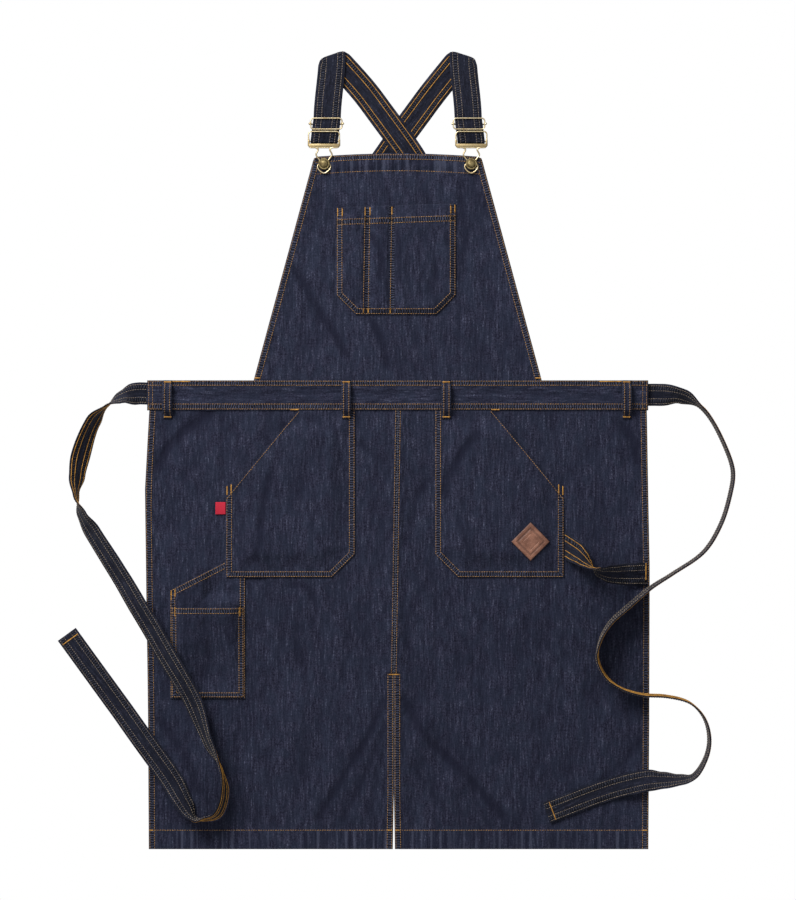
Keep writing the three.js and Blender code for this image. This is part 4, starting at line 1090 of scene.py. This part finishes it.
def chest_place(u, v):
    up = spaced(v, CHEST_CELLS[1], CHEST["height"])
    flat_y = CHEST_BOTTOM + up
    cut = np.maximum(0, CHEST["chamfer"] - up)
    left, right = CHEST_LEFT + cut, CHEST_RIGHT - cut
    across = spaced(u, CHEST_CELLS[0], right - left)
    x = left + across
    y = flat_y + CHEST["skew"] * (x - CHEST_LEFT) / CHEST["width"] * up / CHEST["height"]
    return x, y, chest_top(x, y) - rolled(least(across, right - left - across, up, CHEST["height"] - up))


BIB_CELLS = (132, 112)
SKIRT_CELLS = (128, 214)
HAND_CELLS = (76, 92)
TOOL_CELLS = (48, 84)
INNER_CELLS = (46, 56)
CHEST_CELLS = (76, 64)

# A double row of stitches: where its middle and its two rows lie from the cloth's edge
MIDDLE = 4.5
TWO = (1.6, 7.6)

bib = cloth_piece("bib", BIB_CELLS, bib_place,
                  [inset(BIB_TOP_LINE[::-1], MIDDLE), inset(BIB_LEFT, MIDDLE), inset(BIB_RIGHT, -MIDDLE)],
                  BIB_CREASES,
                  lambda x, y: smooth((y - BIB["height"] + BIB["hem"]) / 2))
skirts = []
for side, name in ((-1, "left"), (1, "right")):
    edge, middle = skirt_edge(side), vent_edge(side)
    lines = [inset(side_line(edge, HEM_LINE, WAIST), -side * MIDDLE), SKIRT_SEAM,
             inset(side_line(middle, HEM_LINE, VENT_TOP), side * MIDDLE)]
    skirts.append(cloth_piece(f"skirt_{name}", SKIRT_CELLS, skirt_place(side), lines, SKIRT_CREASES,
                              lambda x, y: smooth((HEM_LINE + SKIRT["hem"] - y) / 2)))
hands = {}
for name, p in HANDS.items():
    hands[name] = cloth_piece(f"hand_pocket_{name}", HAND_CELLS, hand_pocket_place(name),
                              [inset(hand_chain(p), p["side"] * -MIDDLE)], SKIRT_CREASES)
tool_outer = cloth_piece("tool_pocket_outer", TOOL_CELLS, tool_place,
                         [inset(TOOL_CHAIN, 4), inset(TOOL_MOUTH, -MIDDLE)], SKIRT_CREASES)
tool_inner = cloth_piece("tool_pocket_inner", INNER_CELLS, inner_place,
                         [inset(INNER_SEAMS, 4), level(INNER_LEFT, INNER_RIGHT, INNER_TOP - MIDDLE)],
                         SKIRT_CREASES)
chest = cloth_piece("bib_pocket", CHEST_CELLS, chest_place,
                    [inset(CHEST_OUTLINE, MIDDLE), inset(CHEST_MOUTH, -19),
                     *([(x, CHEST_TOP), (x, CHEST_BOTTOM)] for x in DIVIDER_X)], CHEST_CREASES)

# The waistband, an H in section with the bib's and the skirt's edges in its slots


def band_section():
    low, high = PLATEAU - GAP, PLATEAU + CLOTH + GAP
    tuck, end = BAND["tuck"], -BAND["height"]
    r = 0.5
    return [
        (-tuck, low), (0, low), (0.0, BAND_UNDER + r), (-r, BAND_UNDER),
        *((y, BAND_UNDER) for y in (-12, -26)),
        (end + r, BAND_UNDER), (end, BAND_UNDER + r), (end, low), (end + tuck, low), (end + tuck, high),
        (end, high), (end, BAND_TOP - 0.8), (end + 0.25, BAND_TOP - 0.25), (end + 0.9, BAND_TOP),
        *((y, BAND_TOP) for y in (-36, -33.8, -31, -27, -22, -17, -12, -9, -6.4, -3.5)),
        (-0.9, BAND_TOP), (-0.25, BAND_TOP - 0.25), (0, BAND_TOP - 0.8), (0, high), (-tuck, high),
    ]


bm = bmesh.new()
cloth_layer, run_layer, seam_layer = denim_layers(bm)
ring = band_section()
spots = [Vector((x, 0, 0)) for x in np.linspace(-BAND["width"] / 2, BAND["width"] / 2, 261)]
places = swept(bm, ring, [(at, Vector((0, 1, 0)), Vector((0, 0, 1))) for at in spots])
for vert, i, j in places:
    x, (y, z) = spots[j].x, ring[i]
    if z >= BAND_TOP and -36 <= y <= -3:
        vert.co.z += MM * 0.35 * float(np.sin(x / 13 + y / 9) * np.sin(x / 31 - y / 17))
    vert[cloth_layer] = Vector((y, x, 0)) * MM
    vert[run_layer] = x
    vert[seam_layer] = min(abs(y + 3.6), abs(y + 34)) + (0 if z > PLATEAU else 20)
close(bm)
waistband = keep(object_of(bm, "waistband_cloth"), DENIM, ["waistband"])

# Belt loops: sewn down at both ends, standing off between them
LOOP_RISE = [(0, 0), (0.09, 0), (0.17, 0.75), (0.24, 1), (0.76, 1), (0.83, 0.75), (0.91, 0), (1, 0)]


def loop_stations(x, low_end):
    half = LOOP["length"] / 2
    made = []
    for at in np.linspace(0, 1, 41):
        y = -at * LOOP["length"]
        drop = float(smooth((-y - half) / (half * 0.9)))
        seat = BAND_TOP + GAP if at < 0.5 else mix(BAND_TOP + GAP, low_end, drop)
        rise = np.mean([np.interp(at + d, *zip(*LOOP_RISE)) for d in (-0.03, -0.015, 0, 0.015, 0.03)])
        z = max(seat, mix(seat, BAND_TOP + GAP + LOOP["bow"], float(rise))) + LOOP["thick"] / 2
        made.append((Vector((x, y, z)), Vector((-LOOP["width"] / 2, 0, 0)), Vector((0, 0, 1))))
    return made


loops = []
for i, share in enumerate(LOOP_SHARES):
    on_pocket = CLOTH + 2 * GAP if abs(share) < 0.5 else 0
    stations = loop_stations(share * BAND["width"] / 2, PLATEAU + CLOTH + GAP + on_pocket)
    stations = [(c, -a, n) for c, a, n in reversed(stations)]
    loops.append(stations)
    strip(f"belt_loop_{i + 1}_cloth", stations, LOOP["thick"], DENIM, [f"belt_loop_{i + 1}"])

ties = {"left": tie_stations(-1, LEFT_TIE, TIE["left"]), "right": tie_stations(1, RIGHT_TIE, TIE["right"])}
braces = {"left": brace_stations(-1), "right": brace_stations(1)}
hammer = hammer_stations()
bands = {f"waist_tie_{name}": stations for name, stations in ties.items()}
bands |= {f"shoulder_strap_{name}": stations for name, stations in braces.items()}
for name, stations in {**bands, "hammer_loop": hammer}.items():
    strip(f"{name}_cloth", stations, STRAP, WEBBING, [name])

# Stitches: threads that rise over the cloth and dip back into it


def seen_from_above(*objects):
    """Casts down onto pieces of cloth: the point and normal at a place, in millimetres."""
    verts, faces = [], []
    for piece in objects:
        start = len(verts)
        verts += [v.co.copy() for v in piece.data.vertices]
        faces += [[start + i for i in face.vertices] for face in piece.data.polygons]
    tree = BVHTree.FromPolygons(verts, faces)

    def drop(x, y):
        hit, normal, _, _ = tree.ray_cast(world(x, y, 80), Vector((0, 0, -1)))
        if hit is None:
            return None
        return Vector((x, y, hit.z / MM)), normal if normal.z > 0 else -normal

    return drop


def row_points(chain, step):
    """Even places along a chain of points in the plane."""
    far = [0.0]
    for a, b in zip(chain, chain[1:]):
        far.append(far[-1] + math.dist(a, b))
    count = max(2, round(far[-1] / step))
    runs = np.linspace(0, far[-1], count + 1)
    xs, ys = zip(*chain)
    return list(zip(np.interp(runs, far, xs), np.interp(runs, far, ys)))


# A stitch's length, and its four points: shares of that length and heights over the cloth
LOCK = {"pitch": 3.2, "shares": (0.06, 0.2, 0.68, 0.82), "heights": (-0.5, 0.22, 0.22, -0.5),
        "radius": 0.36}
CHAIN = {"pitch": 3.0, "shares": (0.0, 0.28, 0.55, 0.82), "heights": (0.2, 0.4, 0.45, 0.3), "radius": 0.46}


def thread_row(bm, path, style):
    """One row of stitches along places of (point, normal), a quarter of a stitch apart."""
    stations = []
    for i, (at, normal) in enumerate(path):
        before, after = path[max(0, i - 1)][0], path[min(len(path) - 1, i + 1)][0]
        heading = (after - before).normalized()
        side = normal.cross(heading).normalized()
        slip = (style["shares"][i % 4] - (i % 4) / 4) * style["pitch"]
        size = style["radius"] * (0.1 if i in (0, len(path) - 1) else 1)
        centre = at + heading * slip + normal * style["heights"][i % 4]
        stations.append((centre, side * size, normal * size))
    if len(stations) > 3:
        swept(bm, circle(5), stations)


def on_cloth(drop, chain, style):
    """A chain's stitches, broken where there is no cloth."""
    runs, now = [], []
    for x, y in row_points(chain, style["pitch"] / 4):
        found = drop(x, y)
        if found:
            now.append(found)
        elif now:
            runs.append(now)
            now = []
    return [*runs, now] if now else runs


def on_strip(stations, over, face, thick, style, start=0.0):
    """A row along a strap, at a distance from its middle, on its front (1) or back (-1)."""
    half = stations[5][1].length
    spots = [c + a * (over / half) + n * (face * thick / 2 * 0.97) for c, a, n in stations]
    far = np.concatenate([[0], np.cumsum([(b - a).length for a, b in zip(spots, spots[1:])])])
    runs = np.arange(start * far[-1], far[-1], style["pitch"] / 4)
    at = np.stack([np.interp(runs, far, [s[k] for s in spots]) for k in range(3)], axis=1)
    up = np.stack([np.interp(runs, far, [s[2][k] * face for s in stations]) for k in range(3)], axis=1)
    return [(Vector(p), Vector(n).normalized()) for p, n in zip(at, up)]


def stitched(name, rows, style, material):
    """All rows of one thread and place as a piece."""
    bm = bmesh.new()
    for path in rows:
        thread_row(bm, path, style)
    close(bm, caps=False)
    return keep(object_of(bm, name), material)


def tacks(name, marks, drop):
    """Bar tacks: short ridged bars of close thread at (x, y, direction in degrees, length)."""
    bm = bmesh.new()
    for x, y, angle, length in marks:
        c, s = math.cos(math.radians(angle)), math.sin(math.radians(angle))
        count = round(length / 0.45)
        stations = []
        for i in range(count + 1):
            along = (i / count - 0.5) * length
            found = drop(x + c * along, y + s * along)
            if not found:
                continue
            at, normal = found
            side = normal.cross(Vector((c, s, 0))).normalized()
            ridge = 0.2 if i in (0, count) else 1 if i % 2 else 0.72
            stations.append((at + normal * 0.1, side * (0.85 * ridge), normal * (0.6 * ridge)))
        if len(stations) > 3:
            swept(bm, circle(7), stations)
    close(bm, caps=False)
    return keep(object_of(bm, name), ORANGE)


on_bib = seen_from_above(bib)
on_skirt = seen_from_above(*skirts)
on_hands = seen_from_above(*hands.values())
on_tool = seen_from_above(tool_outer, hands["left"])
on_inner = seen_from_above(tool_inner)
on_chest = seen_from_above(chest)
on_band = seen_from_above(waistband)

rows = [inset(BIB_TOP_LINE[::-1], d) for d in (1.8, 7.4, 22.5)]
rows += [inset(BIB_LEFT, d) for d in TWO] + [inset(BIB_RIGHT, -d) for d in TWO]
bib_rows = [path for chain in rows for path in on_cloth(on_bib, chain, LOCK)]

rows = [inset(CHEST_OUTLINE, d) for d in TWO]
rows += [inset(CHEST_MOUTH, -d) for d in (16, 22.5)]
rows += [[(x, CHEST_TOP + CHEST["skew"]), (x - 2.5, CHEST_BOTTOM + 2)]
         for x in (DIVIDER_X[0] - 3.2, DIVIDER_X[0] + 3.2, DIVIDER_X[1])]
chest_rows = [path for chain in rows for path in on_cloth(on_chest, chain, LOCK)]

HEM_ROW = HEM_LINE + SKIRT["hem"] - 0.4
rows = []
for side in (-1, 1):
    edge, middle = skirt_edge(side), vent_edge(side)
    rows += [inset(side_line(edge, HEM_LINE, WAIST), -side * d) for d in TWO]
    rows += [inset(side_line(middle, HEM_LINE, VENT_TOP), side * d) for d in TWO]
    rows.append(level(float(edge(HEM_LINE)) - side, float(middle(HEM_LINE)) + side, HEM_ROW))
    rows.append([(x + side * 3, y) for x, y in SKIRT_SEAM])
skirt_rows = [path for chain in rows for path in on_cloth(on_skirt, chain, LOCK)]

rows = []
for p in HANDS.values():
    rows += [inset(hand_chain(p), -p["side"] * d) for d in TWO]
    rows.append(inset(hand_mouth(p), -p["side"] * 1.6))
hand_rows = [path for chain in rows for path in on_cloth(on_hands, chain, LOCK)]

under_tool = [inset(TOOL_CHAIN, d) for d in (1.4, 6.6)] + [inset(TOOL_MOUTH, -d) for d in TWO]
outside = [[point for point in row_points(chain, 0.8) if point[0] < HANDS["left"]["outer"] or
            point[1] < HANDS["left"]["bottom"]] for chain in under_tool]
beyond = [[point for point in chain if point[1] > INNER_TOP or not INNER_LEFT < point[0] < INNER_RIGHT]
          for chain in outside]


def unbroken(chain):
    """Splits a chain where its points jump."""
    parts = [[chain[0]]]
    for a, b in zip(chain, chain[1:]):
        if math.dist(a, b) > 2:
            parts.append([])
        parts[-1].append(b)
    return [part for part in parts if len(part) > 4]


tool_rows = [path for chain in beyond for part in unbroken(chain) for path in on_cloth(on_tool, part, LOCK)]
rows = [inset(INNER_SEAMS, d) for d in (1.2, 6.4)]
rows += [level(INNER_LEFT, INNER_RIGHT, INNER_TOP - d) for d in TWO]
tool_rows += [path for chain in rows for path in on_cloth(on_inner, chain, LOCK)]

end = BAND["width"] / 2 - 0.6
rows = [level(-end, end, y) for y in (-1.2, -6.4, -30.8, -37.2)]
rows += [[(side * (end - d), -2), (side * (end - d), -37)] for side in (-1, 1) for d in (1.5, 6.5)]
band_rows = [path for chain in rows for path in on_cloth(on_band, chain, LOCK)]
loop_rows = [on_strip(stations, over, 1, LOOP["thick"], LOCK) for stations in loops for over in (-3.4, 3.4)]

stitched("bib_stitches", bib_rows + chest_rows, LOCK, TAN)
stitched("skirt_stitches", skirt_rows, LOCK, TAN)
stitched("pocket_stitches", hand_rows + tool_rows, LOCK, TAN)
stitched("waistband_stitches", band_rows + loop_rows, LOCK, TAN)

TIE_ROWS = (-11.6, -5.2, 5.2, 11.6)
BRACE_ROWS = (-13.6, -7.2, 7.2, 13.6)


def both_faces(name, stations, across, start=0.0):
    """Lock stitches on a band's front and chain stitches on its back."""
    for kind, face, style, material in (("stitches", 1, LOCK, PALE), ("chain", -1, CHAIN, ORANGE)):
        rows = [on_strip(stations, over, face, STRAP, style, start) for over in across]
        stitched(f"{name}_{kind}", rows, style, material)


for name, stations in ties.items():
    both_faces(f"tie_{name}", stations, TIE_ROWS, 0.02)
for name, stations in braces.items():
    both_faces(f"strap_{name}", stations, BRACE_ROWS)
both_faces("hammer", hammer, TIE_ROWS)

# Where a strap turns over at its peak, its two corners are rounded


def rounded_corner(corner, toward_a, toward_b, radius):
    """The middle of the arc in a corner and the two directions in which it meets the edges."""
    middle = (toward_a + toward_b).normalized()
    half_angle = toward_a.angle(toward_b) / 2
    centre = corner + middle * (radius / math.sin(half_angle))
    reach = radius / math.tan(half_angle)
    return centre, *((corner + toward * reach - centre).normalized() for toward in (toward_a, toward_b))


# Radii of a strap's two rounded corners at its peak
OUTER_ROUND = 15
INNER_ROUND = 14


def peak_corners():
    peak = Vector((BRACE["spread"], BIB["height"] + BRACE["peak"], 0))
    lean = math.radians(BRACE["lean"])
    up = Vector((-math.sin(lean), math.cos(lean), 0))
    first = Vector((BACK_RUN[0][0] * peak.x, CROSS_Y + BACK_RUN[0][1] * (peak.y - CROSS_Y), 0))
    down = (first - peak).normalized()
    along, out = crease_of(up, down, 1)
    half = along * (BRACE["width"] / 2 / abs(along.x * up.y - along.y * up.x))
    inner, outer = sorted((peak + half, peak - half), key=lambda p: p.x)
    past = out * (LAYER / 2 + STRAP / 2)
    crease = (inner - outer).normalized()
    return [rounded_corner((outer + past).to_2d(), -up.to_2d(), crease.to_2d(), OUTER_ROUND),
            rounded_corner((inner + past).to_2d(), -crease.to_2d(), down.to_2d(), INNER_ROUND)]


corners = peak_corners()
for name, side in (("left", -1), ("right", 1)):
    for kind in ("shoulder_strap_%s_cloth", "strap_%s_stitches", "strap_%s_chain"):
        for vert in bpy.data.objects[kind % name].data.vertices:
            spot = Vector(((vert.co.x - AXIS) / MM * side, (vert.co.y - TOP) / MM))
            for centre, one, other in corners:
                off = spot - centre
                turn = one.cross(other)
                if off.cross(other) / turn > 0 and one.cross(off) / turn > 0:
                    way = off.normalized()
                    spot = centre + off * max(way.dot(one), way.dot(other))
            vert.co.x = spot.x * side * MM + AXIS
            vert.co.y = spot.y * MM + TOP

# Bar tacks
tacks("bib_tacks", [(side * (BIB["base"] / 2 - 5), 3, 0, 8) for side in (-1, 1)], on_bib)
first, second = DIVIDER_X
tops = [(CHEST_LEFT + 2, -6), (CHEST_RIGHT - 1.6, -1), (CHEST_LEFT + 8, -7), (first - 3.2, -5),
        (first + 3.2, -5), (second, -4), (CHEST_RIGHT - 7, -3)]
marks = [(x, CHEST_TOP + y, 90, 10) for x, y in tops]
marks += [(x, CHEST_BOTTOM + 5, 90, 6) for x in (first - 5.4, first + 0.8, second - 2.3)]
tacks("bib_pocket_tacks", marks, on_chest)
marks = []
for p in HANDS.values():
    side = p["side"]
    marks += [(p["outer"] - side * 1.6, p["mouth_end"] + 10, 90, 12),
              (p["outer"] - side * 7, p["mouth_end"] + 12, 90, 12),
              (p["mouth_top"] + side * 5, WAIST + 1, 0, 11)]
tacks("hand_pocket_tacks", marks, seen_from_above(*hands.values(), *skirts, waistband))
low = TOOL_BOTTOM + TOOL["low"]
tacks("tool_pocket_tacks", [(TOOL_LEFT + 1.8, low - 7, 90, 12), (TOOL_LEFT + 7, low - 4, 90, 10)], on_tool)
marks = [(x, INNER_TOP - 6, 90, 12) for x in (INNER_LEFT + 5, INNER_RIGHT - 5)]
tacks("inner_pocket_tacks", marks, on_inner)
vent_x = float(seam_x(VENT_TOP))
marks = [(vent_x, VENT_TOP - 1, 0, 13), (vent_x - 5, HEM_ROW, 0, 6), (vent_x + 5, HEM_ROW, 0, 6)]
marks += [(side * (BAND["width"] / 2 - 4), HEM_ROW, 0, 6) for side in (-1, 1)]
tacks("skirt_tacks", marks, on_skirt)
tacks("waistband_tacks", [(x, -1.5, 0, 30) for x in (-284, 276)], on_band)
loop_cloth = seen_from_above(*[pieces[f"belt_loop_{i}_cloth"] for i in (1, 2, 3, 4)])
marks = [(share * BAND["width"] / 2, y, 0, 10) for share in LOOP_SHARES for y in (-2.2, 2 - LOOP["length"])]
tacks("belt_loop_tacks", marks, loop_cloth)
on_hammer = seen_from_above(pieces["hammer_loop_cloth"])
right_end = float(skirt_right(WAIST - HAMMER["below"] - 36)) - 5
tacks("hammer_loop_tacks", [(right_end, WAIST - HAMMER["below"] - 34, 90, 22)], on_hammer)
on_ties = seen_from_above(pieces["waist_tie_left_cloth"], pieces["waist_tie_right_cloth"])
marks = []
for name in ("left", "right"):
    centre, across, _ = ties[name][-3]
    marks.append((centre.x, centre.y, math.degrees(math.atan2(across.y, across.x)), 25))
tacks("tie_end_tacks", marks, on_ties)

# Brass: wire swept along its path


def wire_piece(bm, path, radius, sides=10, closed=False):
    count = len(path)
    stations = []
    for i, at in enumerate(path):
        before = path[(i - 1) % count if closed else max(0, i - 1)]
        after = path[(i + 1) % count if closed else min(count - 1, i + 1)]
        heading = (after - before).normalized()
        side = heading.cross(Vector((0, 0, 1)))
        side = side.normalized() if side.length > 0.05 else Vector((1, 0, 0))
        up = side.cross(heading).normalized()
        stations.append((at, side * radius, up * radius))
    swept(bm, circle(sides), stations, closed)


def rounded_path(width, height, corner, centre, turns=6):
    made = []
    for cx, cy, start in ((1, 1, 0), (-1, 1, 90), (-1, -1, 180), (1, -1, 270)):
        for i in range(turns + 1):
            t = math.radians(start + 90 * i / turns)
            made.append(centre + Vector((cx * (width / 2 - corner) + corner * math.cos(t),
                                         cy * (height / 2 - corner) + corner * math.sin(t), 0)))
    return made


def box_piece(bm, centre, size, bevel):
    made = bmesh.ops.create_cube(bm, size=1)["verts"]
    for vert in made:
        vert.co = world(*(centre + Vector(c * s for c, s in zip(vert.co, size))))
    edges = list({edge for vert in made for edge in vert.link_edges})
    bmesh.ops.bevel(bm, geom=edges, offset=bevel * MM, offset_type="OFFSET", affect="EDGES", segments=3,
                    profile=0.5, material=-1)


def bar_and_posts(bm, x, y, width, post):
    reach = width / 2 - post
    wire_piece(bm, [Vector((x + reach * t, y, BAR)) for t in (-1, -0.5, 0, 0.5, 1)], WIRE)
    for side in (-1, 1):
        bow = [Vector((x + side * reach, y, z)) for z in np.linspace(BAR - WIRE, RING + WIRE, 7)]
        wire_piece(bm, bow, post * 0.85)
        if post > 1.3:
            knob = bmesh.ops.create_uvsphere(bm, u_segments=14, v_segments=8, radius=1.1 * post * MM)
            for vert in knob["verts"]:
                vert.co += world(x + side * (width / 2 + 0.2), y, RING)


def metalwork(bm, name, material, node, low, high, caps=True):
    """Finishes a metal piece: closed, kept for its node, and marked where it turns from the sky, for its
    painted shade.
    """
    close(bm, caps)
    shade_sides(keep(object_of(bm, name), material, [node]), low, high)


def wire_ring(bm, size, x, y):
    path = rounded_path(size["width"] - 2, size["height"] - 2, size["corner"], Vector((x, y, RING)))
    wire_piece(bm, path, WIRE, closed=True)


# The hook's wire: shares of the buckle's width and height, from the plate round the button
HOOK = [(0.44, 0.69), (0.25, 0.715), (0.182, 0.82), (0.245, 1.1), (0.132, 1.45), (0.2, 1.78), (0.13, 2.0),
        (0.0, 2.13)]
HOOK_WIRE = 1.05
for side, name in ((-1, "left"), (1, "right")):
    x = side * BUTTON_X
    bm = bmesh.new()
    slider_x = x - side * SLIDER["inward"]
    wire_ring(bm, SLIDER, slider_x, SLIDER_Y)
    bar_and_posts(bm, slider_x, SLIDER_Y, SLIDER["width"], SLIDER["knob"])
    metalwork(bm, f"strap_slider_{name}_wire", BRASS, f"strap_slider_{name}", 0.25, 0.96)

    bm = bmesh.new()
    wire_ring(bm, BUCKLE, x, BUCKLE_Y)
    bar_and_posts(bm, x, CROSSBAR_Y, BUCKLE["width"], 1.2)
    button_top = PLATEAU + CLOTH + HEM + GAP + WIRE
    half = [Vector((hx * BUCKLE["width"], BUCKLE_Y + BUCKLE["height"] * (0.25 - hy),
                    mix(RING, button_top, float(smooth((hy - 0.85) / 0.5))))) for hx, hy in HOOK]
    loop = half + [Vector((-p.x, p.y, p.z)) for p in reversed(half[:-1])]
    wire_piece(bm, [p + Vector((x, 0, 0)) for p, _ in curve(loop, 8)], HOOK_WIRE)
    metalwork(bm, f"strap_buckle_{name}_wire", BRASS, f"strap_buckle_{name}", 0.25, 0.96)

    # The plate across the buckle's lower half, with its two upright ends
    bm = bmesh.new()
    plate_y = BUCKLE_Y - BUCKLE["height"] / 2 + BUCKLE["plate"] / 2 + 1
    box_piece(bm, Vector((x, plate_y, RING + 0.2)), (BUCKLE["width"] - 2, BUCKLE["plate"] - 1, 2.2), 0.7)
    for edge_side in (-1, 1):
        edge_x = x + edge_side * (BUCKLE["width"] / 2 - 1.2)
        box_piece(bm, Vector((edge_x, plate_y + 3.6, RING)), (2.6, 9, 2.1), 0.8)
    metalwork(bm, f"strap_buckle_{name}_plate", PLATE, f"strap_buckle_{name}", 0.4, 1.0)

    # The button: a spun profile, rim and dome
    behind = PLATEAU - GAP
    under = PLATEAU + CLOTH + HEM + 2 * GAP + 2 * WIRE
    cap, dome, back = BUTTON["cap"], BUTTON["dome"], BUTTON["back"]
    profile = [
        (0, behind - 1), (back - 0.3, behind - 1), (back, behind - 0.7), (back, behind),
        (BUTTON["shank"], behind), (BUTTON["shank"], under), (cap - 0.4, under), (cap, under + 0.35),
        (cap, under + 0.9), (cap - 0.4, under + 1.35), (cap - 1.1, under + 1.5), (cap - 1.8, under + 1.15),
        (cap - 2.2, under + 1.2), (cap - 2.6, under + 1.9), (cap - 3.4, under + 0.78 * dome),
        (cap - 5.0, under + 0.95 * dome), (cap - 6.4, under + dome), (0, under + dome),
    ]
    bm = bmesh.new()
    verts = [bm.verts.new(world(x + r, BUTTON_Y, z)) for r, z in profile]
    edges = [bm.edges.new(pair) for pair in zip(verts, verts[1:])]
    bmesh.ops.spin(bm, geom=verts + edges, cent=world(x, BUTTON_Y, 0), axis=(0, 0, 1), angle=2 * math.pi,
                   steps=40, use_merge=True, use_duplicate=False)
    metalwork(bm, f"bib_button_{name}_cap", BRONZE, f"bib_button_{name}", 0.5, 0.97, caps=False)

# The leather patch, a square on its corner with a pressed border
PATCH_CELLS = 60


def patch_place(u, v):
    turn = math.sqrt(0.5) * PATCH["side"]
    x0, y0 = HANDS["right"]["outer"] - PATCH["inset"], WAIST - PATCH["below"]
    a, b = u - 0.5, v - 0.5
    x, y = x0 + (a - b) * turn, y0 + (a + b) * turn
    rim = (0.5 - np.maximum(np.abs(a), np.abs(b))) * PATCH["side"]
    pressed = 0.45 * (smooth((rim - 4.2) / 0.7) - smooth((rim - 6.4) / 0.7))
    pressed = pressed + 0.35 * (smooth((rim - 9.4) / 0.6) - smooth((rim - 10.6) / 0.6))
    face = hand_top("right", x, y) + GAP + FACETING + PATCH["thick"]
    return x, y, face - pressed - 0.9 * rolled(rim), rim


bm = bmesh.new()
bmesh.ops.create_grid(bm, x_segments=PATCH_CELLS, y_segments=PATCH_CELLS, size=0.5)
edge_layer = bm.verts.layers.float.new("edge")
bm.verts.ensure_lookup_table()
us = np.array([v.co.x for v in bm.verts]) + 0.5
vs = np.array([v.co.y for v in bm.verts]) + 0.5
px, py, pz, rim = patch_place(us, vs)
border = (smooth((rim - 4.0) / 0.6) - smooth((rim - 6.6) / 0.6)) * 0.6
pressed_edge = np.clip(border + (1 - smooth(rim / 1.6)), 0, 1)
for vert, x, y, z, edge in zip(bm.verts, px, py, pz, pressed_edge):
    vert.co = world(x, y, z)
    vert[edge_layer] = edge
patch = object_of(bm, "leather_patch_face")
thicken(patch, PATCH["thick"] - GAP)
keep(patch, LEATHER, ["leather_patch"])

# The side tag, folded woven tape
bm = bmesh.new()
bmesh.ops.create_grid(bm, x_segments=14, y_segments=16, size=0.5)
right, high = HANDS["left"]["outer"] - GAP, WAIST - TAG["below"]
for vert in bm.verts:
    x, y = right - TAG["width"] * (0.5 - vert.co.x), high - TAG["height"] * (0.5 - vert.co.y)
    lift = 0.5 * math.sin(math.pi * (vert.co.y + 0.5)) + 0.6 * (0.5 - vert.co.x) ** 2
    vert.co = world(x, y, float(skirt_top(x, y)) + GAP + TAG["thick"] + lift)
tag = object_of(bm, "side_tag_tape")
thicken(tag, TAG["thick"])
keep(tag, RED_TAPE, ["side_tag"])

# Table, light and camera
look = Look("white_table")
bm = bmesh.new()
bmesh.ops.create_grid(bm, x_segments=1, y_segments=1, size=6)
for vert in bm.verts:
    vert.co.z = -0.0004
table = object_of(bm, "table")
table.data.materials.append(look.set(Base_Color=(0, 0, 0, 1), Roughness=1.0, Specular_IOR_Level=0.0,
                                     Emission_Color=(1, 1, 1, 1), Emission_Strength=1.0))

scene = bpy.context.scene
window = bpy.data.lights.new("window", "AREA")
window.shape = "DISK"
window.size = 1.9
window.energy = 190
window_object = bpy.data.objects.new("window", window)
window_object.location = (-1.6, 2.2, 1.9)
window_object.rotation_mode = "QUATERNION"
window_object.rotation_quaternion = (-window_object.location).to_track_quat("-Z", "Y")
scene.collection.objects.link(window_object)
sky = bpy.data.worlds.new("room")
sky.use_nodes = True
sky.node_tree.nodes["Background"].inputs["Color"].default_value = (1, 1, 1, 1)
sky.node_tree.nodes["Background"].inputs["Strength"].default_value = 0.55
scene.world = sky
scene.view_settings.view_transform = "Standard"
scene.view_settings.look = "None"

# Straight above the middle of the photograph's frame, which is 1.17 m tall at the table
CAMERA_HEIGHT = 3.0
FRAME_TALL = 1.17
camera = bpy.data.cameras.new("camera")
camera.sensor_width = 36
camera.lens = camera.sensor_width * CAMERA_HEIGHT / FRAME_TALL
camera.clip_start = 0.1
camera.clip_end = 20
camera_object = bpy.data.objects.new("camera", camera)
camera_object.location = (AXIS + 0.0004, TOP - 0.0904, CAMERA_HEIGHT)
scene.collection.objects.link(camera_object)
scene.camera = camera_object
